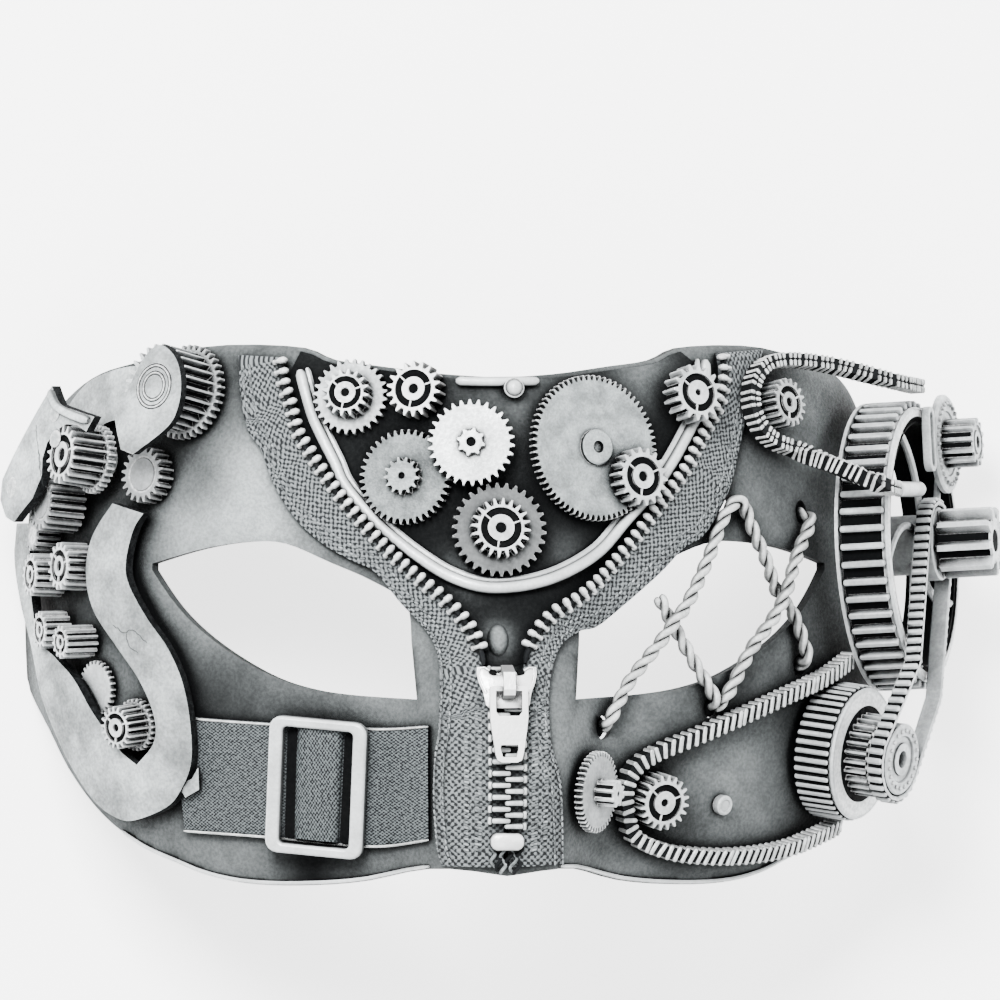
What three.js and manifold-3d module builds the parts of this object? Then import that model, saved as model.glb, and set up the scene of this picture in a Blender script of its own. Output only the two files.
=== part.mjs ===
// Steampunk eye mask: a rigid half mask that wraps round the face, with gears, a zipper, lacing and belts
// glued on. Millimetres. It lies face up on the flat ends of its two temples: +X is the viewer's right when
// the mask is looked at from the front, +Y is towards the forehead and +Z comes out of the face.
import * as THREE from 'three';
import { mergeVertices } from 'three/addons/utils/BufferGeometryUtils.js';
import Module from 'manifold-3d';

const wasm = await Module();
wasm.setup();

// The face: a barrel with a nose ridge. Everything glued to it is placed by its way along the face from the
// middle and its way up the face, both unrolled and both given as shares of faceReach.
const faceReach = 120;
const planRadius = 84;
const planDrop = 8;
const browRadius = 220;
const wall = 2.2;
const bridgeRise = 4;
const tipRise = 17;
const ridgeWidth = 16;
const ridgeStart = 18;
const ridgeEnd = -38;
// The space between two pieces that touch on the real mask.
const clearance = 0.4;

// Thicknesses of what is glued on.
const tapeThickness = 1.1;
const toothThickness = 1.4;
const toothPitch = 2.3;
const toothReach = 1.1;
const strapThickness = 1.2;
const foldThickness = 1.7;
const buckleThickness = 2;
const buckleWidth = 19.4;
const buckleHeight = 26.4;
const buckleSide = 2.7;
const buckleEnd = 1.9;
// The strap's fold stands up in the buckle's window with this room above and below it.
const foldWidth = 8.8;
const foldRoom = 0.7;
const plateThickness = 2.2;
const rimRadius = 0.8;
const ropeRadius = 1.2;
const beltWidth = 3.2;
const beltThickness = 3;
const cordBeltWidth = 3.2;
const cordBeltThickness = 1.4;
const beltRodRadius = 1.5;
const beltRodLength = 18;
const linkWidth = 4.4;
const linkHeight = 12.6;
const linkWire = 1;
const gearThickness = 1.6;

// The zipper slider and its pull, which swings on the slider's bridge.
const zipAlong = -0.5;
const sliderWidth = 9.6;
const sliderTail = 6.4;
const sliderTop = -0.0885 * faceReach;
const sliderBottom = -0.15 * faceReach;
const sliderThickness = 1;
const bridgeWidth = 2.2;
const bridgeThickness = 0.9;
const pullUp = -0.1325 * faceReach;
const pullWidth = 7.2;
const pullTipWidth = 4.9;
const pullLength = 14;
const pullThickness = 1.1;
const pullBar = 1.3;
const chainWidth = 6;
const chainEnd = -0.3385 * faceReach;

// The drum wheel on the right temple and the pinion on its axle.
const wheelRadius = 28;
const wheelHeight = 10.3;
const wheelRing = 4.6;
const wheelTeeth = 40;
const wheelLift = 2.2;
const hubRadius = 6.8;
const hubLength = 13.9;
const drumRadius = 13.2;
const drumHeight = 8.3;

const silver = { color: 0xc8cdce, roughness: 0.45, metalness: 0.6 };
const dark = { color: 0x7c8284, roughness: 0.6, metalness: 0.5 };
const bright = { color: 0xf0f2f2, roughness: 0.3, metalness: 0.8 };
const cloth = { color: 0x8c9192, roughness: 0.9, metalness: 0.1 };

const mask = new THREE.Group();

// Shares of faceReach to millimetres along and up the face.
const at = (along, up) => new THREE.Vector2(along * faceReach, up * faceReach);
const points = (rows) => rows.map(([along, up]) => at(along, up));

// The height of the nose ridge over the barrel.
function ridge(along, up) {
  const t = THREE.MathUtils.clamp((ridgeStart - up) / (ridgeStart - ridgeEnd), 0, 1);
  const rise = bridgeRise + (tipRise - bridgeRise) * t * t * (3 - 2 * t);
  return rise * Math.exp(-(Math.abs(along / ridgeWidth) ** 3));
}

// A point of the face's outer surface, or of a surface that lies lift further out.
function surfacePoint(along, up, lift = 0) {
  const angle = along / planRadius;
  const radius = planRadius + ridge(along, up) - up * up / (2 * browRadius) + lift;
  return new THREE.Vector3(radius * Math.sin(angle), up, radius * Math.cos(angle) - planDrop);
}

// The frame of the surface at a point: x along the face, y up it, z straight out of it.
function surfaceFrame(along, up, lift = 0, lean = 0) {
  const step = 0.05;
  const across = surfacePoint(along + step, up).sub(surfacePoint(along - step, up));
  const upward = surfacePoint(along, up + step).sub(surfacePoint(along, up - step));
  const out = across.clone().cross(upward).normalize();
  out.applyAxisAngle(new THREE.Vector3(0, 1, 0), THREE.MathUtils.degToRad(lean));
  const x = new THREE.Vector3(0, 1, 0).cross(out).normalize();
  const y = out.clone().cross(x);
  const origin = surfacePoint(along, up).addScaledVector(out, lift);
  return new THREE.Matrix4().makeBasis(x, y, out).setPosition(origin);
}

// A surface frame raised until a flat disc of the given radius clears the face.
function seat(along, up, radius, lift = 0, lean = 0) {
  const frame = surfaceFrame(along, up, 0, lean);
  const inverse = frame.clone().invert();
  let top = 0;
  for (const reach of [0.5 * radius, radius]) {
    for (let i = 0; i < 16; i += 1) {
      const turn = i * Math.PI / 8;
      const point = surfacePoint(along + reach * Math.cos(turn), up + reach * Math.sin(turn));
      top = Math.max(top, point.applyMatrix4(inverse).z);
    }
  }
  return surfaceFrame(along, up, top + clearance + lift, lean);
}

function manifoldOf(geometry) {
  const bare = geometry.clone();
  for (const name of Object.keys(bare.attributes)) {
    if (name !== 'position') bare.deleteAttribute(name);
  }
  const merged = mergeVertices(bare, 1e-4);
  return new wasm.Manifold(new wasm.Mesh({
    numProp: 3,
    vertProperties: new Float32Array(merged.attributes.position.array),
    triVerts: new Uint32Array(merged.index.array),
  }));
}

function geometryOf(manifold) {
  const mesh = manifold.getMesh();
  const geometry = new THREE.BufferGeometry();
  geometry.setAttribute('position', new THREE.BufferAttribute(new Float32Array(mesh.vertProperties), 3));
  geometry.setIndex(new THREE.BufferAttribute(new Uint32Array(mesh.triVerts), 1));
  return geometry;
}

const joined = (geometries) => geometryOf(geometries.map(manifoldOf).reduce((sum, next) => sum.add(next)));

function add(name, geometry, finish, frame = new THREE.Matrix4()) {
  const shown = geometry.index ? geometry.toNonIndexed() : geometry;
  shown.computeVertexNormals();
  const mesh = new THREE.Mesh(shown, new THREE.MeshStandardMaterial({ ...finish, flatShading: true }));
  mesh.name = name;
  mesh.applyMatrix4(frame);
  mask.add(mesh);
}

// A smooth open line through points, in count pieces.
const smooth = (rows, count) => new THREE.SplineCurve(rows).getPoints(count);

// Cut a convex polygon by the line where one coordinate has a value.
function halves(polygon, key, value) {
  const low = [];
  const high = [];
  polygon.forEach((point, i) => {
    const next = polygon[(i + 1) % polygon.length];
    const here = point[key] - value;
    const there = next[key] - value;
    if (here <= 1e-6) low.push(point);
    if (here >= -1e-6) high.push(point);
    if ((here < -1e-6 && there > 1e-6) || (here > 1e-6 && there < -1e-6)) {
      const cut = point.clone().lerp(next, here / (here - there));
      cut[key] = value;
      low.push(cut);
      high.push(cut);
    }
  });
  return [low, high].filter((part) => part.length > 2 && Math.abs(THREE.ShapeUtils.area(part)) > 1e-7);
}

// Lines along which a plate is cut so that it can follow the face: close together over the nose.
const alongLines = [];
for (let value = -0.21 * faceReach; value < 0.22 * faceReach; value += 0.035 * faceReach) {
  alongLines.push(value);
}
for (let value = 0.28 * faceReach; value < 1.1 * faceReach; value += 0.11 * faceReach) {
  alongLines.push(value, -value);
}
const upLines = [];
for (let value = -0.45 * faceReach; value < 0.46 * faceReach; value += 0.1 * faceReach) upLines.push(value);

// Does a point lie on the edge of one of the loops?
function onEdge(point, loops) {
  return loops.some((loop) => loop.some((from, i) => {
    const to = loop[(i + 1) % loop.length];
    const way = to.clone().sub(from);
    const share = THREE.MathUtils.clamp(point.clone().sub(from).dot(way) / way.lengthSq(), 0, 1);
    return from.clone().addScaledVector(way, share).distanceTo(point) < 1e-5;
  }));
}

// The outer edges of the pieces that fill one cell of the grid, as closed loops without needless points.
function cellLoops(pieces, keep) {
  const key = (point) => `${Math.round(point.x * 1e4)},${Math.round(point.y * 1e4)}`;
  const edges = new Map();
  for (const piece of pieces) {
    piece.forEach((from, i) => {
      const to = piece[(i + 1) % piece.length];
      if (key(from) === key(to)) return;
      if (!edges.delete(`${key(to)} ${key(from)}`)) edges.set(`${key(from)} ${key(to)}`, [from, to]);
    });
  }
  const loops = [];
  while (edges.size > 0) {
    const [first, [start, second]] = edges.entries().next().value;
    edges.delete(first);
    const loop = [start, second];
    while (key(loop[loop.length - 1]) !== key(start)) {
      const here = key(loop[loop.length - 1]);
      const [name, [, next]] = [...edges].find(([, [from]]) => key(from) === here);
      edges.delete(name);
      loop.push(next);
    }
    loops.push(loop.slice(0, -1).filter(keep));
  }
  return loops.filter((loop) => loop.length > 2);
}

// A plate that follows the face between two lifts. Its outline and holes are drawn on the unrolled face.
function curvedPlate(outline, holes, low, high, along = alongLines, up = upLines) {
  const contour = THREE.ShapeUtils.isClockWise(outline) ? outline.slice().reverse() : outline;
  const gaps = holes.map((hole) => (THREE.ShapeUtils.isClockWise(hole) ? hole : hole.slice().reverse()));
  const all = [contour, ...gaps].flat();
  let pieces = THREE.ShapeUtils.triangulateShape(contour, gaps).map((face) => face.map((i) => all[i]));
  for (const [key, values] of [['x', along], ['y', up]]) {
    for (const value of values) {
      pieces = pieces.flatMap((piece) => halves(piece, key, value));
    }
  }
  const near = (value, values) => values.some((line) => Math.abs(line - value) < 1e-5);
  const keep = (point) => (near(point.x, along) && near(point.y, up)) || onEdge(point, [contour, ...gaps]);
  const cells = new Map();
  for (const piece of pieces) {
    const total = piece.reduce((sum, point) => sum.add(point), new THREE.Vector2());
    const middle = total.divideScalar(piece.length);
    const passed = (value, lines) => lines.filter((line) => line < value).length;
    const cell = [passed(middle.x, along), passed(middle.y, up)].join();
    cells.set(cell, [...(cells.get(cell) ?? []), piece]);
  }
  const index = new Map();
  const flat = [];
  const id = (point) => {
    const name = `${Math.round(point.x * 1e4)},${Math.round(point.y * 1e4)}`;
    if (!index.has(name)) {
      index.set(name, flat.length);
      flat.push(point);
    }
    return index.get(name);
  };
  const faces = [];
  for (const group of cells.values()) {
    const loops = cellLoops(group, keep);
    const outer = loops.filter((loop) => THREE.ShapeUtils.area(loop) > 0);
    const inner = loops.filter((loop) => THREE.ShapeUtils.area(loop) < 0);
    for (const loop of outer) {
      const mine = outer.length === 1 ? inner : [];
      const list = [loop, ...mine].flat();
      for (const face of THREE.ShapeUtils.triangulateShape(loop, mine)) {
        faces.push(face.map((i) => id(list[i])));
      }
    }
  }
  const edges = new Map();
  for (const [a, b, c] of faces) {
    for (const [from, to] of [[a, b], [b, c], [c, a]]) edges.set(`${from},${to}`, [from, to]);
  }
  const place = flat.flatMap((point) => surfacePoint(point.x, point.y, high).toArray());
  const under = flat.flatMap((point) => surfacePoint(point.x, point.y, low).toArray());
  const count = flat.length;
  const triangles = faces.flatMap(([a, b, c]) => [a, b, c, c + count, b + count, a + count]);
  for (const [from, to] of edges.values()) {
    if (edges.has(`${to},${from}`)) continue;
    triangles.push(from, from + count, to + count, from, to + count, to);
  }
  const geometry = new THREE.BufferGeometry();
  geometry.setAttribute('position', new THREE.Float32BufferAttribute([...place, ...under], 3));
  geometry.setIndex(triangles);
  return geometry;
}

// A band with a flat section swept through stations, each with its centre and its two half vectors.
function sweep(stations, closed = false) {
  const place = stations.flatMap(({ centre, wide, thick }) => [
    centre.clone().add(wide).add(thick),
    centre.clone().sub(wide).add(thick),
    centre.clone().sub(wide).sub(thick),
    centre.clone().add(wide).sub(thick),
  ].flatMap((point) => point.toArray()));
  const triangles = [];
  const rings = stations.length;
  for (let i = 0; i < (closed ? rings : rings - 1); i += 1) {
    const next = (i + 1) % rings;
    for (let k = 0; k < 4; k += 1) {
      const side = (k + 1) % 4;
      triangles.push(4 * i + k, 4 * i + side, 4 * next + side, 4 * i + k, 4 * next + side, 4 * next + k);
    }
  }
  if (!closed) {
    const last = 4 * (rings - 1);
    triangles.push(2, 1, 0, 3, 2, 0, last, last + 1, last + 2, last, last + 2, last + 3);
  }
  const geometry = new THREE.BufferGeometry();
  geometry.setAttribute('position', new THREE.Float32BufferAttribute(place, 3));
  geometry.setIndex(triangles);
  const volume = signedVolume(geometry);
  if (volume < 0) geometry.setIndex(triangles.reverse());
  return geometry;
}

function signedVolume(geometry) {
  const { position } = geometry.attributes;
  const read = (i) => new THREE.Vector3().fromBufferAttribute(position, geometry.index.getX(i));
  let volume = 0;
  for (let i = 0; i < geometry.index.count; i += 3) volume += read(i).dot(read(i + 1).cross(read(i + 2)));
  return volume;
}

// A round rod along a smooth line through points.
function rod(line, radius, steps, sides = 6) {
  const section = new THREE.Shape(new THREE.Path().absarc(0, 0, radius, 0, 2 * Math.PI).getPoints(sides / 2)
    .slice(0, -1));
  const path = new THREE.CatmullRomCurve3(line, false, 'centripetal');
  return new THREE.ExtrudeGeometry(section, { steps, extrudePath: path, curveSegments: sides });
}

// A spur gear with its axis along z. Fine teeth are plain points, coarse ones have a flat tip.
function gear({ teeth, radius, depth, height, bore = 0, base = 0, fine = false }) {
  const marks = fine ? [[0, radius - depth], [0.5, radius]]
    : [[0, radius - depth], [0.16, radius], [0.46, radius], [0.62, radius - depth]];
  const outline = [];
  for (let i = 0; i < teeth; i += 1) {
    for (const [share, reach] of marks) {
      const turn = 2 * Math.PI * (i + share) / teeth;
      outline.push(new THREE.Vector2(reach * Math.cos(turn), reach * Math.sin(turn)));
    }
  }
  const shape = new THREE.Shape(outline);
  if (bore > 0) shape.holes.push(new THREE.Path().absarc(0, 0, bore, 0, 2 * Math.PI, true));
  const curveSegments = bore > radius / 2 ? 14 : 4;
  const solid = new THREE.ExtrudeGeometry(shape, { depth: height, bevelEnabled: false, curveSegments });
  return solid.translate(0, 0, base);
}

function post(radius, low, high, sides = 8) {
  const solid = new THREE.CylinderGeometry(radius, radius, high - low, sides);
  return solid.rotateX(Math.PI / 2).translate(0, 0, (low + high) / 2);
}

// The shell, seen unrolled: its right half runs from the brow's middle to the chin side's middle.
const halfOutline = [
  ...smooth(points([[0, 0.371], [0.1, 0.378], [0.2, 0.39], [0.28, 0.4], [0.35, 0.421], [0.52, 0.423],
    [0.7, 0.396], [0.8, 0.378], [0.9, 0.342], [1.05, 0.27]]), 12),
  ...smooth(points([[1.05, -0.12], [0.94, -0.185], [0.86, -0.258], [0.77, -0.325], [0.67, -0.375],
    [0.585, -0.402], [0.52, -0.421], [0.44, -0.433], [0.34, -0.435], [0.23, -0.428], [0.1, -0.405],
    [0, -0.416]]), 14),
];
const otherHalf = halfOutline.slice(1, -1).reverse().map((point) => new THREE.Vector2(-point.x, point.y));

// Eye holes: the way from the inner corner to the outer one as a share, and the height as a share of
// faceReach.
const eyeTop = [[0.02, -0.045], [0.04, 0.014], [0.16, 0.05], [0.3, 0.078], [0.46, 0.108], [0.6, 0.111],
  [0.78, 0.1], [1, 0.076]];
const eyeBottom = [[1, 0.066], [0.87, 0.002], [0.72, -0.05], [0.53, -0.098], [0.38, -0.121], [0.22, -0.132],
  [0.0, -0.138]];
function eyeHole(inner, outer) {
  const place = ([share, up]) => at(inner + share * (outer - inner), up);
  return [...smooth(eyeTop.map(place), 11), ...smooth(eyeBottom.map(place), 10)];
}

// Small oval holes that the lacing goes through.
const laceHoles = { low: [0.167, -0.183], top: [0.405, 0.168], outer: [0.59, 0.158], foot: [0.375, -0.152],
  corner: [0.578, -0.088] };
function ovalHole([along, up]) {
  const path = new THREE.Path();
  path.absellipse(along * faceReach, up * faceReach, ropeRadius + 0.7, ropeRadius + 1.1, 0, 2 * Math.PI);
  return path.getPoints(6).slice(0, -1);
}
const eyes = [eyeHole(-0.13, -0.605), eyeHole(0.107, 0.655)];
const shellHoles = [...eyes, ...Object.values(laceHoles).map(ovalHole)];
const shell = curvedPlate([...halfOutline, ...otherHalf], shellHoles, -wall, 0);
const below = new THREE.BoxGeometry(4 * planRadius, 4 * planRadius, 2 * planRadius);
below.translate(0, 0, -planRadius);
add('mask_shell', geometryOf(manifoldOf(shell).subtract(manifoldOf(below))), dark);

// The zipper: how far the row of teeth and the tape's outer edge lie from the middle at each height.
const rowLeft = points([[-0.368, 0.404], [-0.356, 0.357], [-0.343, 0.33], [-0.327, 0.284], [-0.307, 0.255],
  [-0.288, 0.228], [-0.239, 0.167], [-0.183, 0.107], [-0.127, 0.058], [-0.083, 0.018], [-0.052, -0.023],
  [-0.036, -0.06], [-0.032, -0.083]]);
const rowRight = points([[0.411, 0.412], [0.411, 0.378], [0.394, 0.333], [0.364, 0.295], [0.334, 0.256],
  [0.315, 0.228], [0.259, 0.167], [0.205, 0.106], [0.147, 0.051], [0.097, 0.014], [0.07, -0.002],
  [0.047, -0.026], [0.028, -0.057], [0.022, -0.08]]);
const edgeLeft = points([[-0.45, 0.408], [-0.438, 0.344], [-0.419, 0.288], [-0.393, 0.257], [-0.37, 0.207],
  [-0.333, 0.153], [-0.29, 0.114], [-0.24, 0.084], [-0.199, 0.065], [-0.16, 0.019], [-0.101, -0.055],
  [-0.096, -0.17], [-0.102, -0.225], [-0.104, -0.293], [-0.099, -0.372], [-0.092, -0.4]]);
const edgeRight = points([[0.523, 0.418], [0.5, 0.39], [0.469, 0.338], [0.427, 0.249], [0.417, 0.223],
  [0.393, 0.178], [0.347, 0.122], [0.307, 0.101], [0.259, 0.058], [0.158, -0.018], [0.115, -0.03],
  [0.078, -0.055], [0.06, -0.108], [0.056, -0.157], [0.059, -0.211], [0.072, -0.26], [0.078, -0.328],
  [0.082, -0.397]]);
const tapeTop = clearance + tapeThickness;
const zipFoot = -0.402 * faceReach;
for (const [side, row, edge, sign] of [['left', rowLeft, edgeLeft, -1], ['right', rowRight, edgeRight, 1]]) {
  const middle = zipAlong + sign * clearance;
  const inner = smooth(row, 18).map((point) => point.clone().setX(point.x + sign * 0.3));
  const outline = [...smooth(edge, 22), new THREE.Vector2(middle, zipFoot),
    new THREE.Vector2(middle, sliderBottom), ...inner.reverse()];
  add(`zipper_tape_${side}`, curvedPlate(outline, [], clearance, tapeTop), cloth);

  // One row of teeth on its spine, which grips the tape's inner edge.
  const line = new THREE.SplineCurve(row);
  const count = Math.round(line.getLength() / toothPitch) - 1;
  const half = 0.25 / (count + 1);
  const inside = [];
  const outside = [];
  const offset = (share, reach) => {
    const point = line.getPointAt(share);
    const tangent = line.getTangentAt(share);
    return point.add(new THREE.Vector2(sign * tangent.y, -sign * tangent.x).multiplyScalar(reach));
  };
  for (let i = 0; i < count; i += 1) {
    const share = (i + 0.6) / (count + 1);
    inside.push(offset(share - half, -0.3), offset(share - 0.6 * half, toothReach));
    inside.push(offset(share + half, toothReach));
    outside.push(offset(share, -1.3));
  }
  const comb = [...inside, ...outside.reverse()];
  const toothLow = tapeTop + clearance;
  const teeth = curvedPlate(comb, [], toothLow, toothLow + toothThickness, alongLines, []);
  add(`zipper_teeth_${side}`, teeth, silver);
}

// The closed chain below the slider: two rows of teeth that mesh, with notches at both sides.
const chainLow = tapeTop + clearance;
const chainTop = chainLow + toothThickness;
const chainStart = sliderTop - 0.4;
const chainCount = Math.floor((chainStart - chainEnd) / toothPitch);
const chainSide = [];
for (let i = 0; i < chainCount; i += 1) {
  const up = chainStart - i * toothPitch;
  chainSide.push([0.38, up], [0.5, up - 0.25 * toothPitch], [0.5, up - 0.75 * toothPitch]);
}
const chainOutline = [
  ...chainSide.map(([share, up]) => new THREE.Vector2(zipAlong + share * chainWidth, up)),
  ...chainSide.reverse().map(([share, up]) => new THREE.Vector2(zipAlong - share * chainWidth, up)),
];
add('zipper_chain', curvedPlate(chainOutline, [], chainLow, chainTop, [zipAlong]), silver);

// The bottom stop, clamped over the end of the chain.
const stopLength = 3.4;
const stopOutline = [[-0.5, 0], [0.5, 0], [0.5, -1], [-0.5, -1]].map(([x, y]) => new THREE.Vector2(
  zipAlong + x * (chainWidth + 0.4), chainEnd - clearance + y * stopLength));
add('zipper_bottom_stop', curvedPlate(stopOutline, [], chainLow, chainTop + 0.5, [zipAlong], []), bright);

// The slider: a shield over the chain, with a bridge along it that the pull's bar passes under.
const sliderLow = chainTop + clearance;
const sliderHigh = sliderLow + sliderThickness;
const sliderOutline = [[-0.5, sliderTop + 0.4], [-0.16, sliderTop - 1], [0, sliderTop],
  [0.16, sliderTop - 1], [0.5, sliderTop + 0.4], [0.5, sliderTop - 2.4]]
  .map(([x, up]) => new THREE.Vector2(zipAlong + x * sliderWidth, up));
sliderOutline.push(new THREE.Vector2(zipAlong + sliderTail / 2, sliderBottom));
sliderOutline.push(new THREE.Vector2(zipAlong - sliderTail / 2, sliderBottom));
sliderOutline.push(new THREE.Vector2(zipAlong - sliderWidth / 2, sliderTop - 2.4));
const pullRise = sliderHigh + clearance + 1.2;
const tunnelTop = pullRise + Math.hypot(pullBar, pullThickness) / 2 + clearance;
const bridgeFrame = surfaceFrame(zipAlong, pullUp);
const bridgeFoot = sliderBottom + 0.5 - pullUp;
const bridgeHead = sliderTop - 0.2 - pullUp;
const bridgeTop = tunnelTop + bridgeThickness;
const bridgeLow = sliderLow + 0.5 * sliderThickness;
const bridgeSide = new THREE.Shape([
  [bridgeFoot - 0.1, bridgeLow], [bridgeFoot, bridgeTop - 0.9], [bridgeFoot + 0.9, bridgeTop],
  [bridgeHead - 2.4, bridgeTop], [bridgeHead, bridgeLow], [bridgeHead - 1.2, bridgeLow],
  [bridgeHead - 3, tunnelTop], [bridgeFoot + 1.1, tunnelTop], [bridgeFoot + 0.8, tunnelTop - 0.3],
  [bridgeFoot + 0.8, bridgeLow],
].map(([up, out]) => new THREE.Vector2(up, out)));
const bridge = new THREE.ExtrudeGeometry(bridgeSide, { depth: bridgeWidth, bevelEnabled: false });
bridge.applyMatrix4(new THREE.Matrix4().set(0, 0, 1, -bridgeWidth / 2, 1, 0, 0, 0, 0, 1, 0, 0, 0, 0, 0, 1));
bridge.applyMatrix4(bridgeFrame);
const shield = curvedPlate(sliderOutline, [], sliderLow, sliderHigh, [zipAlong], []);
add('zipper_slider', joined([shield, bridge]), bright);

// The pull tab, hinged on its bar: it lies down the chain.
const pullTip = surfacePoint(zipAlong, pullUp - pullLength, chainTop + clearance + 1.4);
const pullOrigin = new THREE.Vector3(0, 0, pullRise).applyMatrix4(bridgeFrame);
const pullY = pullOrigin.clone().sub(pullTip).normalize();
const pullX = new THREE.Vector3().setFromMatrixColumn(bridgeFrame, 0);
pullX.addScaledVector(pullY, -pullX.dot(pullY)).normalize();
const pullZ = pullX.clone().cross(pullY);
const pullFrame = new THREE.Matrix4().makeBasis(pullX, pullY, pullZ).setPosition(pullOrigin);
const pullOutline = [[-0.44, 0.5], [0.44, 0.5], [0.5, 0.2], [0.5, -5.5]].map(([x, y]) => [x * pullWidth,
  y * (y > 0 ? pullBar : 1)]);
pullOutline.push([pullTipWidth / 2, 0.8 - pullLength], [pullTipWidth / 2 - 0.6, -pullLength],
  [0.6 - pullTipWidth / 2, -pullLength], [-pullTipWidth / 2, 0.8 - pullLength], [-pullWidth / 2, -5.5],
  [-pullWidth / 2, 0.2 * pullBar]);
const pullShape = new THREE.Shape(pullOutline.reverse().map(([x, y]) => new THREE.Vector2(x, y)));
const windowWidth = 0.7 * pullWidth;
const windows = [
  [[-windowWidth / 2, -pullBar / 2], [windowWidth / 2, -pullBar / 2], [windowWidth / 2, -5.2],
    [-windowWidth / 2, -5.2]],
  [[-0.25 * pullWidth, 3.1 - pullLength], [0.25 * pullWidth, 3.1 - pullLength],
    [0.21 * pullWidth, 1 - pullLength], [-0.21 * pullWidth, 1 - pullLength]],
];
for (const corners of windows) {
  pullShape.holes.push(new THREE.Path(corners.map(([x, y]) => new THREE.Vector2(x, y))));
}
const pullTab = new THREE.ExtrudeGeometry(pullShape, { depth: pullThickness, bevelEnabled: false });
add('zipper_pull_tab', pullTab.translate(0, 0, -pullThickness / 2), bright, pullFrame);

// The fan-shaped gear panel: a rim round it and a bar with a lens along its top.
const rimLine = smooth(points([[-0.333, 0.383], [-0.308, 0.316], [-0.29, 0.281], [-0.265, 0.236],
  [-0.25, 0.205], [-0.219, 0.168], [-0.18, 0.128], [-0.128, 0.087], [-0.074, 0.054], [-0.017, 0.039],
  [0.063, 0.051], [0.15, 0.092], [0.205, 0.145], [0.257, 0.195], [0.312, 0.262], [0.365, 0.34],
  [0.378, 0.4]]), 30);
const rimLift = clearance + 1.3 * rimRadius;
add('panel_rim', rod(rimLine.map((point) => surfacePoint(point.x, point.y, rimLift)), rimRadius, 26), silver);
const barLine = smooth(points([[-0.07, 0.366], [-0.02, 0.365], [0.06, 0.366]]), 6);
const barRod = rod(barLine.map((point) => surfacePoint(point.x, point.y, clearance + 0.9)), 0.9, 6);
const lens = new THREE.SphereGeometry(1.6, 8, 6).applyMatrix4(surfaceFrame(2.3, 0.352 * faceReach, 2.1));
add('panel_bar', joined([barRod, lens]), silver);

// Glued gears. Each row has its place as shares, its radius and teeth, and the pinion on top of it.
const gearRows = [
  { name: 'panel_gear_a', place: [-0.243, 0.339], radius: 7.1, teeth: 20, fine: true,
    pinion: [10, 4.3, 4.2] },
  { name: 'panel_gear_b', place: [-0.128, 0.348], radius: 5.4, teeth: 14, height: 3.6, bore: 1.2,
    fine: true },
  { name: 'panel_gear_c', place: [-0.145, 0.212], radius: 8.9, teeth: 26, fine: true, pinion: [10, 3.6, 2] },
  { name: 'panel_gear_d', place: [-0.046, 0.263], radius: 8.1, teeth: 20, level: 2.7, foot: 3,
    bore: 0.9, fine: true, pinion: [8, 2.8, 1.2] },
  { name: 'panel_gear_e', place: [0.143, 0.257], radius: 13.8, teeth: 48, fine: true, boss: [3.4, 1.2] },
  { name: 'panel_gear_g', place: [0.322, 0.338], radius: 5.3, teeth: 14, level: 2.6, foot: 2.6, height: 4.2,
    bore: 1.2, fine: true },
  { name: 'panel_gear_h', place: [-0.007, 0.128], radius: 8.6, teeth: 24, fine: true, pinion: [14, 5.5, 3] },
  { name: 'nose_gear', place: [0.128, -0.283], radius: 7.8, teeth: 22, fine: true, lean: -3,
    pinion: [8, 2.6, 4] },
  { name: 'belt_pinion', place: [0.265, -0.296], radius: 5.3, teeth: 14, height: 5.2, bore: 1.2, fine: true },
  { name: 'belt_pulley', place: [0.524, 0.326], radius: 4.7, teeth: 14, height: 5.2, bore: 1,
    fine: true },
  { name: 'long_gear', place: [-0.546, 0.347], radius: 9.2, teeth: 24, fine: true, lean: -3,
    pinion: [16, 7.8, 8.2] },
  { name: 'mid_gear', place: [-0.712, 0.238], radius: 6.6, teeth: 18, fine: true, lean: -8,
    level: 2.2, foot: 3, pinion: [12, 5.6, 7] },
  { name: 'back_gear', place: [-0.606, 0.215], radius: 5.4, teeth: 14, height: 3.4, fine: true },
  { name: 'under_gear', place: [-0.8, 0.168], radius: 5.4, teeth: 14, height: 7.4, lean: -6, fine: true },
  { name: 'slot_gear_a', place: [-0.872, 0.118], radius: 3, teeth: 10, height: 5, fine: true },
  { name: 'slot_gear_b', place: [-0.762, 0.07], radius: 4.6, teeth: 14, height: 5.6, lean: -6,
    bore: 1, fine: true },
  { name: 'slot_gear_c', place: [-0.838, 0.056], radius: 4.1, teeth: 12, height: 6.4, lean: -6,
    bore: 1, fine: true },
  { name: 'slot_gear_d', place: [-0.822, -0.03], radius: 3.6, teeth: 12, height: 5.4, lean: -6, bore: 0.9,
    fine: true },
  { name: 'slot_gear_e', place: [-0.744, -0.048], radius: 3.2, teeth: 10, height: 6.8, lean: -6, bore: 0.8,
    fine: true },
  { name: 'slot_gear_f', place: [-0.727, -0.122], radius: 5.2, teeth: 18, fine: true, height: 1.1 },
  { name: 'slot_gear_g', place: [-0.633, -0.18], radius: 5, teeth: 16, fine: true, pinion: [12, 4, 5] },
];
const gearFrames = {};
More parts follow.
